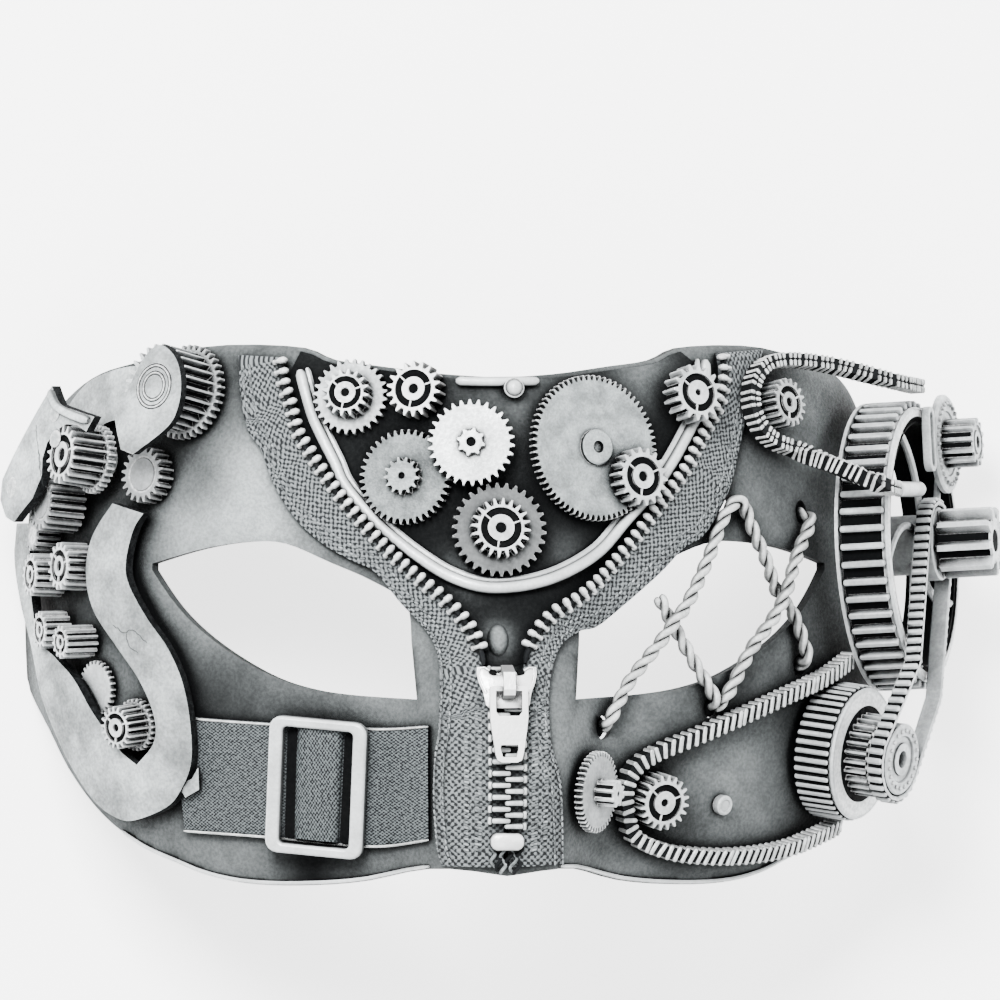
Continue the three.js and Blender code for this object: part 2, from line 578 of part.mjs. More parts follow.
for (const row of gearRows) {
  const level = row.level ?? 0;
  const height = row.height ?? gearThickness;
  const depth = row.fine ? 0.11 * row.radius : 0.19 * row.radius;
  const bore = row.pinion ? 0 : row.bore;
  const { teeth: count, radius: reach, fine } = row;
  const parts = [gear({ teeth: count, radius: reach, depth: Math.min(depth, 1), height, fine, bore })];
  if (row.pinion) {
    const [teeth, radius, rise] = row.pinion;
    parts.push(gear({ teeth, radius, depth: 0.2 * radius, height: rise + 0.5 * height, base: 0.5 * height,
      bore: row.bore ?? 0.25 * radius, fine: true }));
  }
  if (row.boss) parts.push(post(row.boss[0], 0.5 * height, height + row.boss[1], 14));
  if (row.foot) parts.push(post(row.foot, -level, 0.5 * height));
  const [along, up] = row.place.map((share) => share * faceReach);
  const frame = seat(along, up, row.level ? row.foot : row.radius, level, row.lean ?? 0);
  add(row.name, parts.length > 1 ? joined(parts) : parts[0], silver, frame);
  gearFrames[row.name] = frame;
  if (row.name === 'panel_gear_e') {
    // A small gear glued on the face of the large one.
    const small = { teeth: 16, radius: 5.6, depth: 1, height: 3.4, bore: 1.2, fine: true };
    const shift = new THREE.Matrix4().makeTranslation(8, -6, height + clearance);
    add('panel_gear_f', gear(small), silver, frame.clone().multiply(shift));
  }
}

// The cheek strap with the fold that stands up inside its buckle.
const strapOutline = [
  ...smooth(points([[-0.55, -0.166], [-0.367, -0.176], [-0.2, -0.183], [-0.112, -0.178]]), 8),
  ...smooth(points([[-0.112, -0.362], [-0.21, -0.374], [-0.39, -0.36], [-0.55, -0.352]]), 8),
];
const strapTop = clearance + strapThickness;
const strap = curvedPlate(strapOutline, [], clearance, strapTop);
const buckleTurn = THREE.MathUtils.degToRad(-5);
const buckleCentre = at(-0.293, -0.274);
const origin = new THREE.Vector2();
const turned = ([x, y]) => new THREE.Vector2(x, y).rotateAround(origin, buckleTurn).add(buckleCentre);
const foldHeight = buckleHeight - 2 * buckleEnd - 2 * foldRoom;
const foldOutline = [[-0.5, -0.5], [0.5, -0.5], [0.5, 0.5], [-0.5, 0.5]]
  .map(([x, y]) => turned([x * foldWidth, y * foldHeight]));
const fold = curvedPlate(foldOutline, [], strapTop - 0.2, strapTop + foldThickness);
add('cheek_strap', joined([strap, fold]), cloth);
const roundBox = (width, height, corner) => {
  const path = new THREE.Path();
  const x = width / 2 - corner;
  const y = height / 2 - corner;
  path.absarc(x, y, corner, 0, Math.PI / 2).absarc(-x, y, corner, Math.PI / 2, Math.PI);
  path.absarc(-x, -y, corner, Math.PI, 1.5 * Math.PI).absarc(x, -y, corner, 1.5 * Math.PI, 2 * Math.PI);
  return path.getPoints(2);
};
const buckleShape = new THREE.Shape(roundBox(buckleWidth, buckleHeight, 2.4));
const buckleWindow = roundBox(buckleWidth - 2 * buckleSide, buckleHeight - 2 * buckleEnd, 0.9);
buckleShape.holes.push(new THREE.Path(buckleWindow.reverse()));
const buckle = new THREE.ExtrudeGeometry(buckleShape, { depth: buckleThickness, bevelEnabled: false });
const buckleFrame = surfaceFrame(buckleCentre.x, buckleCentre.y, strapTop + clearance)
  .multiply(new THREE.Matrix4().makeRotationZ(buckleTurn));
add('strap_buckle', buckle, silver, buckleFrame);

// The raised plates of the left temple, each given by its outline and its lift.
const hookOutline = [
  ...smooth(points([[-0.975, 0.14], [-0.976, 0.08], [-0.939, 0.012], [-0.896, -0.053], [-0.866, -0.133],
    [-0.825, -0.198], [-0.786, -0.25], [-0.734, -0.303], [-0.687, -0.328], [-0.641, -0.334], [-0.565, -0.312],
    [-0.528, -0.279], [-0.506, -0.234], [-0.505, -0.167], [-0.517, -0.107], [-0.544, -0.055], [-0.583, -0.01],
    [-0.622, 0.045], [-0.628, 0.082], [-0.615, 0.13], [-0.596, 0.156]]), 30),
  ...smooth(points([[-0.665, 0.172], [-0.71, 0.118], [-0.722, 0.06], [-0.702, 0.002], [-0.649, -0.055],
    [-0.6, -0.111], [-0.574, -0.168], [-0.579, -0.21], [-0.619, -0.245]]), 12),
  ...smooth(points([[-0.65, -0.226], [-0.711, -0.164], [-0.758, -0.109], [-0.81, -0.075], [-0.868, -0.04],
    [-0.9, 0.06], [-0.905, 0.14]]), 10),
];
const hookLow = strapTop + clearance;
const hookHigh = hookLow + plateThickness;
const armLow = 11.2;
const sideLow = 9.4;
const plates = [
  { name: 'hook_plate', outline: hookOutline, low: hookLow, high: hookHigh },
  { name: 'arm_link', low: armLow, high: armLow + plateThickness,
    outline: smooth(points([[-0.585, 0.258], [-0.604, 0.316], [-0.588, 0.345], [-0.564, 0.4], [-0.537, 0.424],
      [-0.505, 0.405], [-0.489, 0.366], [-0.49, 0.323], [-0.507, 0.291], [-0.562, 0.25]]), 20) },
  { name: 'side_plate', low: sideLow, high: sideLow + plateThickness, notch: 'mid_gear',
    outline: points([[-0.775, 0.36], [-0.748, 0.33], [-0.66, 0.31], [-0.69, 0.262], [-0.74, 0.215],
      [-0.84, 0.142], [-0.868, 0.15], [-0.893, 0.178], [-0.893, 0.21], [-0.83, 0.29]]) },
  { name: 'brow_plate', low: clearance, high: clearance + plateThickness,
    outline: smooth(points([[-0.66, 0.392], [-0.72, 0.385], [-0.8, 0.36], [-0.86, 0.3], [-0.8, 0.26],
      [-0.72, 0.3], [-0.66, 0.31], [-0.632, 0.33], [-0.628, 0.385]]), 20) },
];
for (const { name, outline, low, high, notch } of plates) {
  const plate = curvedPlate(outline, [], low, high);
  if (notch) {
    // The plate is cut out round the pinion that stands up beside it.
    const [, radius] = gearRows.find((row) => row.name === notch).pinion;
    const room = post(radius + clearance, 0, 2 * high, 20).applyMatrix4(gearFrames[notch]);
    add(name, geometryOf(manifoldOf(plate).subtract(manifoldOf(room))), silver);
  } else {
    add(name, plate, silver);
  }
}

// Twisted lacing ropes, each given by its route over the right eye: along, up and extra lift in millimetres.
const ropeLift = clearance + 1.15 * ropeRadius;
const ropeRoutes = {
  lacing_long: [[...laceHoles.low, -3], [0.17, -0.172, 0], [0.208, -0.11, 0], [0.253, -0.052, 1],
    [0.281, -0.012, 1.6], [0.3, 0.01, 1.5], [0.352, 0.087, 0], [0.383, 0.15, 0.2],
    [0.4, 0.172, 0.9], [0.415, 0.176, 1],
    [0.43, 0.16, 0.2], [0.446, 0.127, 0], [0.48, 0.075, -0.6], [0.503, 0.035, -1.2], [0.54, -0.002, -0.8],
    [0.562, -0.05, 0], [0.572, -0.078, 0], [...laceHoles.corner, -3]],
  lacing_short: [[...laceHoles.outer, -3], [0.588, 0.146, 0], [0.568, 0.118, 0], [0.532, 0.078, 0.8],
    [0.502, 0.03, 1.6], [0.478, -0.012, 0.8], [0.436, -0.062, 0], [0.404, -0.112, 0], [0.384, -0.14, 0.1],
    [...laceHoles.foot, -1.4], [0.366, -0.14, 0.1], [0.325, -0.08, -0.4], [0.295, -0.03, -1.1],
    [0.273, 0.004, -1], [0.262, 0.024, -0.9]],
};
for (const [name, route] of Object.entries(ropeRoutes)) {
  const line = route.map(([along, up, extra]) => (
    surfacePoint(along * faceReach, up * faceReach, ropeLift + extra)));
  add(name, rod(line, ropeRadius, 2 * route.length, 6), silver);
}

// The drum wheel on the right temple: an open toothed drum on five thin spokes, and what lies on its face.
const wheelPlace = at(0.812, 0.1);
const wheelFrame = surfaceFrame(wheelPlace.x, wheelPlace.y, wheelLift);
const onWheel = (x, y, z) => wheelFrame.clone().multiply(new THREE.Matrix4().makeTranslation(x, y, z));
const ring = gear({ teeth: wheelTeeth, radius: wheelRadius, depth: 2, height: wheelHeight,
  bore: wheelRadius - wheelRing });
const wheelParts = [ring, post(hubRadius - 1, -wheelLift + 2 * clearance, wheelHeight, 12)];
for (let i = 0; i < 5; i += 1) {
  const spoke = new THREE.BoxGeometry(wheelRadius - wheelRing + 1, 1.6, 1.6);
  spoke.translate((wheelRadius - wheelRing + 1) / 2, 0, wheelHeight - 1.6);
  wheelParts.push(spoke.rotateZ(2 * Math.PI * (i + 0.3) / 5));
}
add('drum_wheel', joined(wheelParts), silver, wheelFrame);
add('axle_pinion', gear({ teeth: 9, radius: hubRadius, depth: 2, height: hubLength - beltWidth, bore: 2.4 }),
  silver, onWheel(0, 0, wheelHeight + beltWidth + 2 * clearance));
const smallPinion = joined([post(9.6, 0, 1.2, 16), gear({ teeth: 12, radius: 4.8, depth: 0.9, height: 6.6,
  base: 0.6, bore: 1.2 })]);
add('small_pinion', smallPinion, silver, onWheel(16.5, 19.5, wheelHeight + clearance));

// The toothed belt that runs round the wheel's hub and the lower drum's hub, on the outer face of both.
const drumPlace = at(0.667, -0.221);
const drumFrame = seat(drumPlace.x, drumPlace.y, drumRadius);
const stageTop = drumHeight + 4.6;
const loopWheel = 8.2;
const loopDrum = 8;
const loopStations = [];
const loopPart = (frame, radius, height, from, to) => {
  for (let i = 0; i <= 8; i += 1) {
    const turn = THREE.MathUtils.degToRad(from + (to - from) * i / 8);
    const reach = new THREE.Vector3(Math.cos(turn), Math.sin(turn), 0);
    const centre = reach.clone().multiplyScalar(radius).setZ(height).applyMatrix4(frame);
    const axis = new THREE.Vector3().setFromMatrixColumn(frame, 2);
    loopStations.push({ centre, wide: axis.multiplyScalar(cordBeltWidth / 2),
      thick: reach.transformDirection(frame).multiplyScalar(cordBeltThickness / 2) });
  }
};
loopPart(wheelFrame, loopWheel, wheelHeight + clearance + cordBeltWidth / 2, -20, 160);
loopPart(drumFrame, loopDrum, stageTop + clearance + cordBeltWidth / 2 + 0.2, 160, 340);
// Where a straight run of the belt leaves the wheel's ring, still as high as on the wheel's hub.
function rimStation(near, far) {
  const inverse = wheelFrame.clone().invert();
  const start = near.centre.clone().applyMatrix4(inverse);
  const end = far.centre.clone().applyMatrix4(inverse);
  let share = 0;
  const spot = start.clone();
  while (Math.hypot(spot.x, spot.y) < wheelRadius + cordBeltWidth / 2) {
    share += 0.02;
    spot.lerpVectors(start, end, share);
  }
  return { ...near, centre: spot.setZ(start.z).applyMatrix4(wheelFrame) };
}
const half = loopStations.length / 2;
const [wheelLast, drumFirst] = loopStations.slice(half - 1, half + 1);
loopStations.push(rimStation(loopStations[0], loopStations[loopStations.length - 1]));
loopStations.splice(half, 0, rimStation(wheelLast, drumFirst));
add('side_belt', sweep(loopStations, true), silver);
const hubPost = post(loopWheel - cordBeltThickness / 2 - clearance, 0, beltWidth, 14);
add('belt_hub', hubPost, silver, onWheel(0, 0, wheelHeight + clearance));
const lowerDrum = joined([
  gear({ teeth: 26, radius: drumRadius, depth: 1.2, height: drumHeight }),
  gear({
    teeth: 18, radius: 8, depth: 1, height: stageTop - drumHeight / 2, base: drumHeight / 2, fine: true,
  }),
  post(loopDrum - cordBeltThickness / 2 - clearance, drumHeight, stageTop + beltWidth + 2 * clearance, 14),
]);
add('lower_drum', lowerDrum, silver, drumFrame);

// The two ribbed belts: their routes have a place and a lift for each point.
function ribbedBelt(route, steps) {
  const line = new THREE.CatmullRomCurve3(route.map(({ centre }) => centre), false, 'centripetal');
  const outs = new THREE.CatmullRomCurve3(route.map(({ out }) => out), false, 'centripetal');
  const stations = [];
  for (let i = 0; i <= steps; i += 1) {
    const centre = line.getPoint(i / steps);
    const tangent = line.getTangent(i / steps);
    const out = outs.getPoint(i / steps);
    out.addScaledVector(tangent, -out.dot(tangent)).normalize();
    const thick = out.clone().cross(tangent).normalize().multiplyScalar(beltThickness / 2);
    stations.push({ centre, wide: out.multiplyScalar(beltWidth / 2), thick });
  }
  return sweep(stations);
}
const onFace = ([along, up, lift]) => {
  const place = at(along, up);
  const frame = surfaceFrame(place.x, place.y, lift);
  return { centre: new THREE.Vector3().setFromMatrixPosition(frame),
    out: new THREE.Vector3().setFromMatrixColumn(frame, 2) };
};
const aboveWheel = ([x, y, z]) => {
  const frame = onWheel(x, y, z);
  return { centre: new THREE.Vector3().setFromMatrixPosition(frame),
    out: new THREE.Vector3().setFromMatrixColumn(frame, 2) };
};
const beltLift = clearance + 0.55 * beltWidth;
const tapeBeltLift = beltLift + tapeTop;
const overWheel = wheelHeight + clearance + beltWidth / 2;
const beltStop = new THREE.Vector2(-26, 10.6);
const upperRoute = [
  aboveWheel([2, wheelRadius + 2.6, overWheel - 2]), aboveWheel([-12, wheelRadius + 3.6, overWheel - 3]),
  onFace([0.62, 0.386, 6]), onFace([0.53, 0.394, tapeBeltLift]), onFace([0.49, 0.385, tapeBeltLift]),
  onFace([0.46, 0.36, tapeBeltLift]), onFace([0.45, 0.325, tapeBeltLift]),
  onFace([0.462, 0.29, tapeBeltLift]), onFace([0.49, 0.268, tapeBeltLift]),
  onFace([0.53, 0.252, 5]), aboveWheel([-37, 11.6, overWheel]),
  aboveWheel([beltStop.x, beltStop.y, overWheel]),
];
add('upper_belt', ribbedBelt(upperRoute, 28), dark);
const beltEnd = onWheel(beltStop.x + clearance, beltStop.y, overWheel);
const rodEnd = new THREE.CylinderGeometry(beltRodRadius, beltRodRadius, beltRodLength, 10);
rodEnd.rotateZ(Math.PI / 2).translate(beltRodLength / 2, 0, 0);
add('belt_rod', rodEnd, silver, beltEnd);
const lowerRoute = [[0.7, -0.078], [0.62, -0.105], [0.5, -0.139], [0.34, -0.193], [0.25, -0.226],
  [0.214, -0.25], [0.2, -0.284], [0.208, -0.322], [0.226, -0.352], [0.287, -0.376], [0.37, -0.386],
  [0.462, -0.386],
  [0.565, -0.376], [0.66, -0.356], [0.72, -0.342]].map(([along, up]) => onFace([along, up, beltLift]));
add('lower_belt', ribbedBelt(lowerRoute, 28), dark);

// The round boss on the right cheek and the oval link beside the small pinion.
const bossPlace = at(0.404, -0.307);
add('round_boss', post(1.9, 0, 1.6, 14), silver, seat(bossPlace.x, bossPlace.y, 1.9));
const link = new THREE.Shape(roundBox(linkWidth, linkHeight, linkWidth / 2 - 0.05));
link.holes.push(new THREE.Path(roundBox(linkWidth - 2 * linkWire, linkHeight - 2 * linkWire,
  linkWidth / 2 - 0.05 - linkWire).reverse()));
const ovalLink = new THREE.ExtrudeGeometry(link, { depth: 1.6, bevelEnabled: false });
add('oval_link', ovalLink, silver, onWheel(3.6, 20.4, wheelHeight + clearance));

// The origin is under the middle of the whole, on the surface that the temple ends rest on.
const box = new THREE.Box3().setFromObject(mask, true);
const middle = box.getCenter(new THREE.Vector3());
mask.position.set(-middle.x, -middle.y, -box.min.z);

export default mask;
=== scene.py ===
# %% [markdown]
# A steampunk eye mask. The real one is a moulded plastic half mask sprayed in antique silver, with toy
# gears, an open zipper, rope lacing, toothed belts, a strap and a big spoked drum glued on. The packed
# model gives every piece its place and its size. Here each piece gets its fine shape and its finish, and
# the camera looks at it from the front.

# %% load the fixed frame
import math

import bmesh
import bpy
import numpy as np
from mathutils import Matrix, Vector, geometry


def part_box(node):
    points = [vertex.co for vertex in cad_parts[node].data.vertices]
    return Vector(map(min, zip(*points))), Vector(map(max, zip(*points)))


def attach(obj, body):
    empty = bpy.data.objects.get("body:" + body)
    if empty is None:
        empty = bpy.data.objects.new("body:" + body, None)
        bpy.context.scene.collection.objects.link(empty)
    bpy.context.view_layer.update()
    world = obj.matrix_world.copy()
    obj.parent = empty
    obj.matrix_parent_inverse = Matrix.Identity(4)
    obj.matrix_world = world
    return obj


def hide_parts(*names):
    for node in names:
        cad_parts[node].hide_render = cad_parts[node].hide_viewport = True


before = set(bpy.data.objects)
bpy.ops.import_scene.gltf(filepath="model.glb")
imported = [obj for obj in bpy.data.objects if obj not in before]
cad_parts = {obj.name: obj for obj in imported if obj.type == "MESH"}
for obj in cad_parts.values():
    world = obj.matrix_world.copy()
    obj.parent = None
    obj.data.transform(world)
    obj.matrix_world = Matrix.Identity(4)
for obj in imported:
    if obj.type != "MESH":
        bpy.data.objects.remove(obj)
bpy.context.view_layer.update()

# %% [markdown]
# Everything is glued to one curved face, so a place is best named by its way along the face from the middle
# and its way up the face, as if the face were unrolled. These are the same sizes as the solid model's, in
# millimetres, and the solid shell's box says where the face's middle lies in the part's frame.

# %% the unrolled face
MM = 0.001
REACH = 120.0
PLAN_RADIUS, PLAN_DROP, BROW_RADIUS = 84.0, 8.0, 220.0
BRIDGE_RISE, TIP_RISE, RIDGE_WIDTH, RIDGE_START, RIDGE_END = 4.0, 17.0, 16.0, 18.0, -38.0
WALL, GAP = 2.2, 0.4
CHAIN_END = -0.3385 * REACH
STOP_TOP = CHAIN_END - GAP
shell_low, shell_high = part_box("mask_shell")
face_shift = np.array([(shell_low[0] + shell_high[0]) / 2 / MM,
                       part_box("zipper_bottom_stop")[1][1] / MM - STOP_TOP, 0])


def nose_ridge(along, up):
    share = np.clip((RIDGE_START - up) / (RIDGE_START - RIDGE_END), 0, 1)
    rise = BRIDGE_RISE + (TIP_RISE - BRIDGE_RISE) * share * share * (3 - 2 * share)
    return rise * np.exp(-np.abs(along / RIDGE_WIDTH) ** 3)


def face_point(along, up, lift=0.0):
    """Points on the face's outer surface, or lift millimetres further out, in the part's millimetres."""
    along, up = np.asarray(along, float), np.asarray(up, float)
    angle = along / PLAN_RADIUS
    radius = PLAN_RADIUS + nose_ridge(along, up) - up * up / (2 * BROW_RADIUS) + lift
    spot = np.stack([radius * np.sin(angle), up + 0 * angle, radius * np.cos(angle) - PLAN_DROP], axis=-1)
    return spot + face_shift


def unit(vector):
    return vector / np.linalg.norm(vector, axis=-1, keepdims=True)


def frame_of(x, y, z, spot):
    """A 4 by 4 matrix from three directions and a place."""
    matrix = np.eye(4)
    matrix[:3, 0], matrix[:3, 1], matrix[:3, 2], matrix[:3, 3] = x, y, z, spot
    return matrix


def face_frame(along, up, lift=0.0, lean=0.0):
    """A frame on the face: x along it, y up it, z straight out of it."""
    step = 0.05
    across = face_point(along + step, up) - face_point(along - step, up)
    upward = face_point(along, up + step) - face_point(along, up - step)
    out = unit(np.cross(across, upward))
    turn = math.radians(lean)
    out = np.array([out[0] * math.cos(turn) + out[2] * math.sin(turn), out[1],
                    out[2] * math.cos(turn) - out[0] * math.sin(turn)])
    x = unit(np.cross([0, 1, 0], out))
    return frame_of(x, np.cross(out, x), out, face_point(along, up) + out * lift)


def seat(along, up, radius, lift=0.0, lean=0.0):
    """The face's frame raised until a flat disc clears the face."""
    inverse = np.linalg.inv(face_frame(along, up, 0, lean))
    turn = np.arange(16) * math.pi / 8
    reach = np.repeat([0.5 * radius, radius], 16)
    turn = np.tile(turn, 2)
    spots = face_point(along + reach * np.cos(turn), up + reach * np.sin(turn))
    top = max(0.0, float((spots @ inverse[:3, :3].T + inverse[:3, 3])[:, 2].max()))
    return face_frame(along, up, top + GAP + lift, lean)


def moved(matrix, x=0.0, y=0.0, z=0.0, turn=0.0):
    """A frame moved and turned within its own plane."""
    c, s = math.cos(math.radians(turn)), math.sin(math.radians(turn))
    local = np.array([[c, -s, 0, x], [s, c, 0, y], [0, 0, 1, z], [0, 0, 0, 1]])
    return matrix @ local


def shares(rows):
    return [(along * REACH, up * REACH) for along, up in rows]


print("face middle, mm:", face_shift)

# %% [markdown]
# The photograph is taken from far off, a few degrees to the viewer's left of the middle, so the camera is a
# long lens three metres away. The mask lies face up, so the camera looks down on it and the table is the
# backdrop.

# %% the camera
VIEW_YAW, VIEW_DISTANCE, VIEW_WIDTH, VIEW_UP = 7.0, 3000.0, 190.0, 21.3
target = np.array([0.0, VIEW_UP, 83.5 - PLAN_DROP]) + face_shift
yaw = math.radians(VIEW_YAW)
back = np.array([-math.sin(yaw), 0.0, math.cos(yaw)])
camera = bpy.data.objects.new("camera", bpy.data.cameras.new("camera"))
bpy.context.collection.objects.link(camera)
camera.data.sensor_width = 36.0
camera.data.lens = camera.data.sensor_width * VIEW_DISTANCE / VIEW_WIDTH
camera.data.clip_start, camera.data.clip_end = 0.1, 20.0
camera.location = Vector((target + back * VIEW_DISTANCE) * MM)
right = np.array([math.cos(yaw), 0.0, math.sin(yaw)])
rotation = frame_of(right, np.cross(back, right), back, (0, 0, 0))
camera.rotation_mode = "QUATERNION"
camera.rotation_quaternion = Matrix(rotation.tolist()).to_quaternion()
bpy.context.scene.camera = camera
print("camera at", [round(v, 3) for v in camera.location])

# %% [markdown]
# Shapes are made as plain arrays of points and faces. A piece collects shapes, each placed by a frame, and
# becomes one mesh at the end. Lofting between rings of points is the workhorse: a gear, a hub, a tube and a
# block are all rings.


# %% shape helpers
def smooth(points, count):
    """A Catmull-Rom curve through points, sampled evenly in its parameter."""
    points = np.asarray(points, float)
    last = len(points) - 1
    place = np.linspace(0, last, count + 1)
    i = np.minimum(place.astype(int), last - 1)
    t = (place - i)[:, None]
    p0, p1 = points[np.maximum(i - 1, 0)], points[i]
    p2, p3 = points[i + 1], points[np.minimum(i + 2, last)]
    v0, v1 = (p2 - p0) / 2, (p3 - p1) / 2
    return (2 * p1 - 2 * p2 + v0 + v1) * t**3 + (-3 * p1 + 3 * p2 - 2 * v0 - v1) * t**2 + v0 * t + p1


def resampled(path, step, closed=False):
    """Points along a line, evenly step apart."""
    path = np.asarray(path, float)
    if closed:
        path = np.vstack([path, path[:1]])
    lengths = np.concatenate([[0], np.cumsum(np.linalg.norm(np.diff(path, axis=0), axis=1))])
    count = max(2, int(round(lengths[-1] / step)))
    where = np.linspace(0, lengths[-1], count + 1)
    if closed:
        where = where[:-1]
    return np.stack([np.interp(where, lengths, path[:, k]) for k in range(path.shape[1])], axis=1)


def loft(rings, closed=False):
    """Quads between rings of equally many points, with flat ends unless the last ring meets the first."""
    rings = [np.asarray(ring, float) for ring in rings]
    n, count = len(rings[0]), len(rings)
    faces = []
    for i in range(count if closed else count - 1):
        a, b = i * n, (i + 1) % count * n
        faces += [(a + k, a + (k + 1) % n, b + (k + 1) % n, b + k) for k in range(n)]
    if not closed:
        faces += [tuple(range(n))[::-1], tuple(range((count - 1) * n, count * n))]
    return np.vstack(rings), faces


def ring(radii, z, turns):
    return np.stack([radii * np.cos(turns), radii * np.sin(turns), np.full(len(turns), float(z))], axis=1)


def turned(profile, sides=28, closed=False):
    """A round shape from a profile of radius and height, with flat ends or closed to a hoop."""
    turns = np.arange(sides) * 2 * math.pi / sides
    return loft([ring(np.full(sides, float(radius)), z, turns) for radius, z in profile], closed)


def block(width, depth, height, bevel=0.15, corner=0.3):
    """A block with round corners that stands on z = 0."""
    def outline(inset, z):
        turns = np.radians([15, 45, 75])
        points = []
        for sx, sy, start in [(1, 1, 0), (-1, 1, 90), (-1, -1, 180), (1, -1, 270)]:
            for turn in turns + math.radians(start):
                points.append([sx * (width / 2 - corner) + (corner - inset) * math.cos(turn),
                               sy * (depth / 2 - corner) + (corner - inset) * math.sin(turn), z])
        return points
    return loft([outline(bevel, 0), outline(0, bevel), outline(0, height - bevel), outline(bevel, height)])


print("faces of a turned disc with 28 sides:", len(turned([(2, 0), (2, 1)])[1]))

# %% [markdown]
# A rope's strand and a rim are each a section carried along a line. At every point of the line the section
# needs a direction sideways and one outwards. A round tube narrows at its ends, so that it ends in a dome.


# %% sections along a line
def along_frames(path, outs=None, closed=False):
    """Tangent, side and out directions along a line. Without outs they turn as little as they can."""
    path = np.asarray(path, float)
    if closed:
        tangents = unit(np.roll(path, -1, axis=0) - np.roll(path, 1, axis=0))
    else:
        tangents = unit(np.gradient(path, axis=0))
    if outs is None:
        out = np.cross(tangents[0], [0.3, 0.9, 0.1])
        outs = []
        for tangent in tangents:
            out = unit(out - tangent * np.dot(out, tangent))
            outs.append(out)
    outs = np.asarray(outs, float)
    outs = unit(outs - tangents * np.sum(outs * tangents, axis=1, keepdims=True))
    return tangents, np.cross(outs, tangents), outs


def swept(path, section, outs=None, closed=False, scale=None):
    """A section of side and out offsets carried along a line."""
    tangents, sides, outs = along_frames(path, outs, closed)
    rings = []
    for i, spot in enumerate(path):
        size = 1 if scale is None else scale[i]
        rings.append(spot + size * (section[:, :1] * sides[i] + section[:, 1:] * outs[i]))
    return loft(rings, closed)


def circle(radius, sides=10):
    turns = np.arange(sides) * 2 * math.pi / sides
    return np.stack([radius * np.cos(turns), radius * np.sin(turns)], axis=1)


def tube(path, radius, sides=10, closed=False, rounded=True):
    path = np.asarray(path, float)
    scale = None
    if rounded and not closed:
        reach = np.concatenate([[0], np.cumsum(np.linalg.norm(np.diff(path, axis=0), axis=1))])
        end = np.minimum(reach, reach[-1] - reach) / radius
        scale = np.sqrt(np.clip(1 - (1 - np.clip(end, 0.15, 1)) ** 2, 0, 1))
    return swept(path, circle(radius, sides), closed=closed, scale=scale)


def tube_on_face(path, lift, radius, sides, closed=False):
    """A tube along an unrolled line, with its middle at a lift over the face."""
    return tube(face_point(path[:, 0], path[:, 1], lift), radius, sides, closed)


def placed(points, matrix):
    return points @ matrix[:3, :3].T + matrix[:3, 3]


print("faces of a tube along four points:", len(tube([(0, 0, 0), (1, 0, 0), (2, 0, 0), (3, 0, 0)], 0.2)[1]))

# %% [markdown]
# A plate that follows the face is drawn flat as an outline with holes, filled with small triangles by a
# constrained Delaunay net, and then bent: each point goes to its place on the face at a low and at a high
# lift.


# %% curved plates
def dense(loop, step):
    """A closed line with its corners kept and its long edges divided."""
    loop = np.asarray(loop, float)
    points = []
    for a, b in zip(loop, np.roll(loop, -1, axis=0)):
        count = max(1, math.ceil(np.linalg.norm(b - a) / step))
        points += [a + (b - a) * k / count for k in range(count)]
    return np.array(points)


def within(points, loop):
    a, b = loop, np.roll(loop, -1, axis=0)
    y = points[:, 1:2]
    crosses = (a[:, 1] > y) != (b[:, 1] > y)
    rise = np.where(b[:, 1] == a[:, 1], 1e-12, b[:, 1] - a[:, 1])
    edge = a[:, 0] + (y - a[:, 1]) * (b[:, 0] - a[:, 0]) / rise
    return (crosses & (points[:, :1] < edge)).sum(axis=1) % 2 == 1


def edge_distance(points, loops):
    best = np.full(len(points), 1e9)
    for loop in loops:
        for a, b in zip(loop, np.roll(loop, -1, axis=0)):
            way = b - a
            share = np.clip(((points - a) @ way) / max(way @ way, 1e-12), 0, 1)
            best = np.minimum(best, np.linalg.norm(points - a - share[:, None] * way, axis=1))
    return best


def flat_net(outline, holes, cell):
    """Points and triangles that fill an outline."""
    loops = [dense(loop, cell) for loop in [outline, *holes]]
    low, high = loops[0].min(axis=0), loops[0].max(axis=0)
    xs, ys = np.meshgrid(np.arange(low[0] + cell / 2, high[0], cell),
                         np.arange(low[1] + cell / 2, high[1], cell))
    grid = np.stack([xs.ravel(), ys.ravel()], axis=1)
    grid[:, 0] += 0.25 * cell * (np.round(grid[:, 1] / cell).astype(int) % 2)
    grid = grid[within(grid, loops[0])]
    for hole in loops[1:]:
        grid = grid[~within(grid, hole)]
    grid = grid[edge_distance(grid, loops) > 0.45 * cell]
    edges, start = [], 0
    for loop in loops:
        edges += [(start + k, start + (k + 1) % len(loop)) for k in range(len(loop))]
        start += len(loop)
    points = np.vstack([*loops, grid])
    net = geometry.delaunay_2d_cdt([Vector(point) for point in points], edges, [], 0, 1e-6)
    spots = np.array([[v[0], v[1]] for v in net[0]])
    faces = np.array([face for face in net[2] if len(face) == 3])
    middles = spots[faces].mean(axis=1)
    keep = within(middles, loops[0])
    for hole in loops[1:]:
        keep &= ~within(middles, hole)
    faces = faces[keep]
    a, b, c = (spots[faces[:, k]] for k in range(3))
    area = (b[:, 0] - a[:, 0]) * (c[:, 1] - a[:, 1]) - (b[:, 1] - a[:, 1]) * (c[:, 0] - a[:, 0])
    faces[area < 0] = faces[area < 0][:, ::-1]
    return spots, faces[np.abs(area) > 1e-9], loops


def flat_point(x, y, z):
    """For a plate that isn't bent."""
    return np.stack([x, y, z], axis=-1)


def lifted(value, spots):
    return value(spots[:, 0], spots[:, 1]) if callable(value) else np.full(len(spots), float(value))


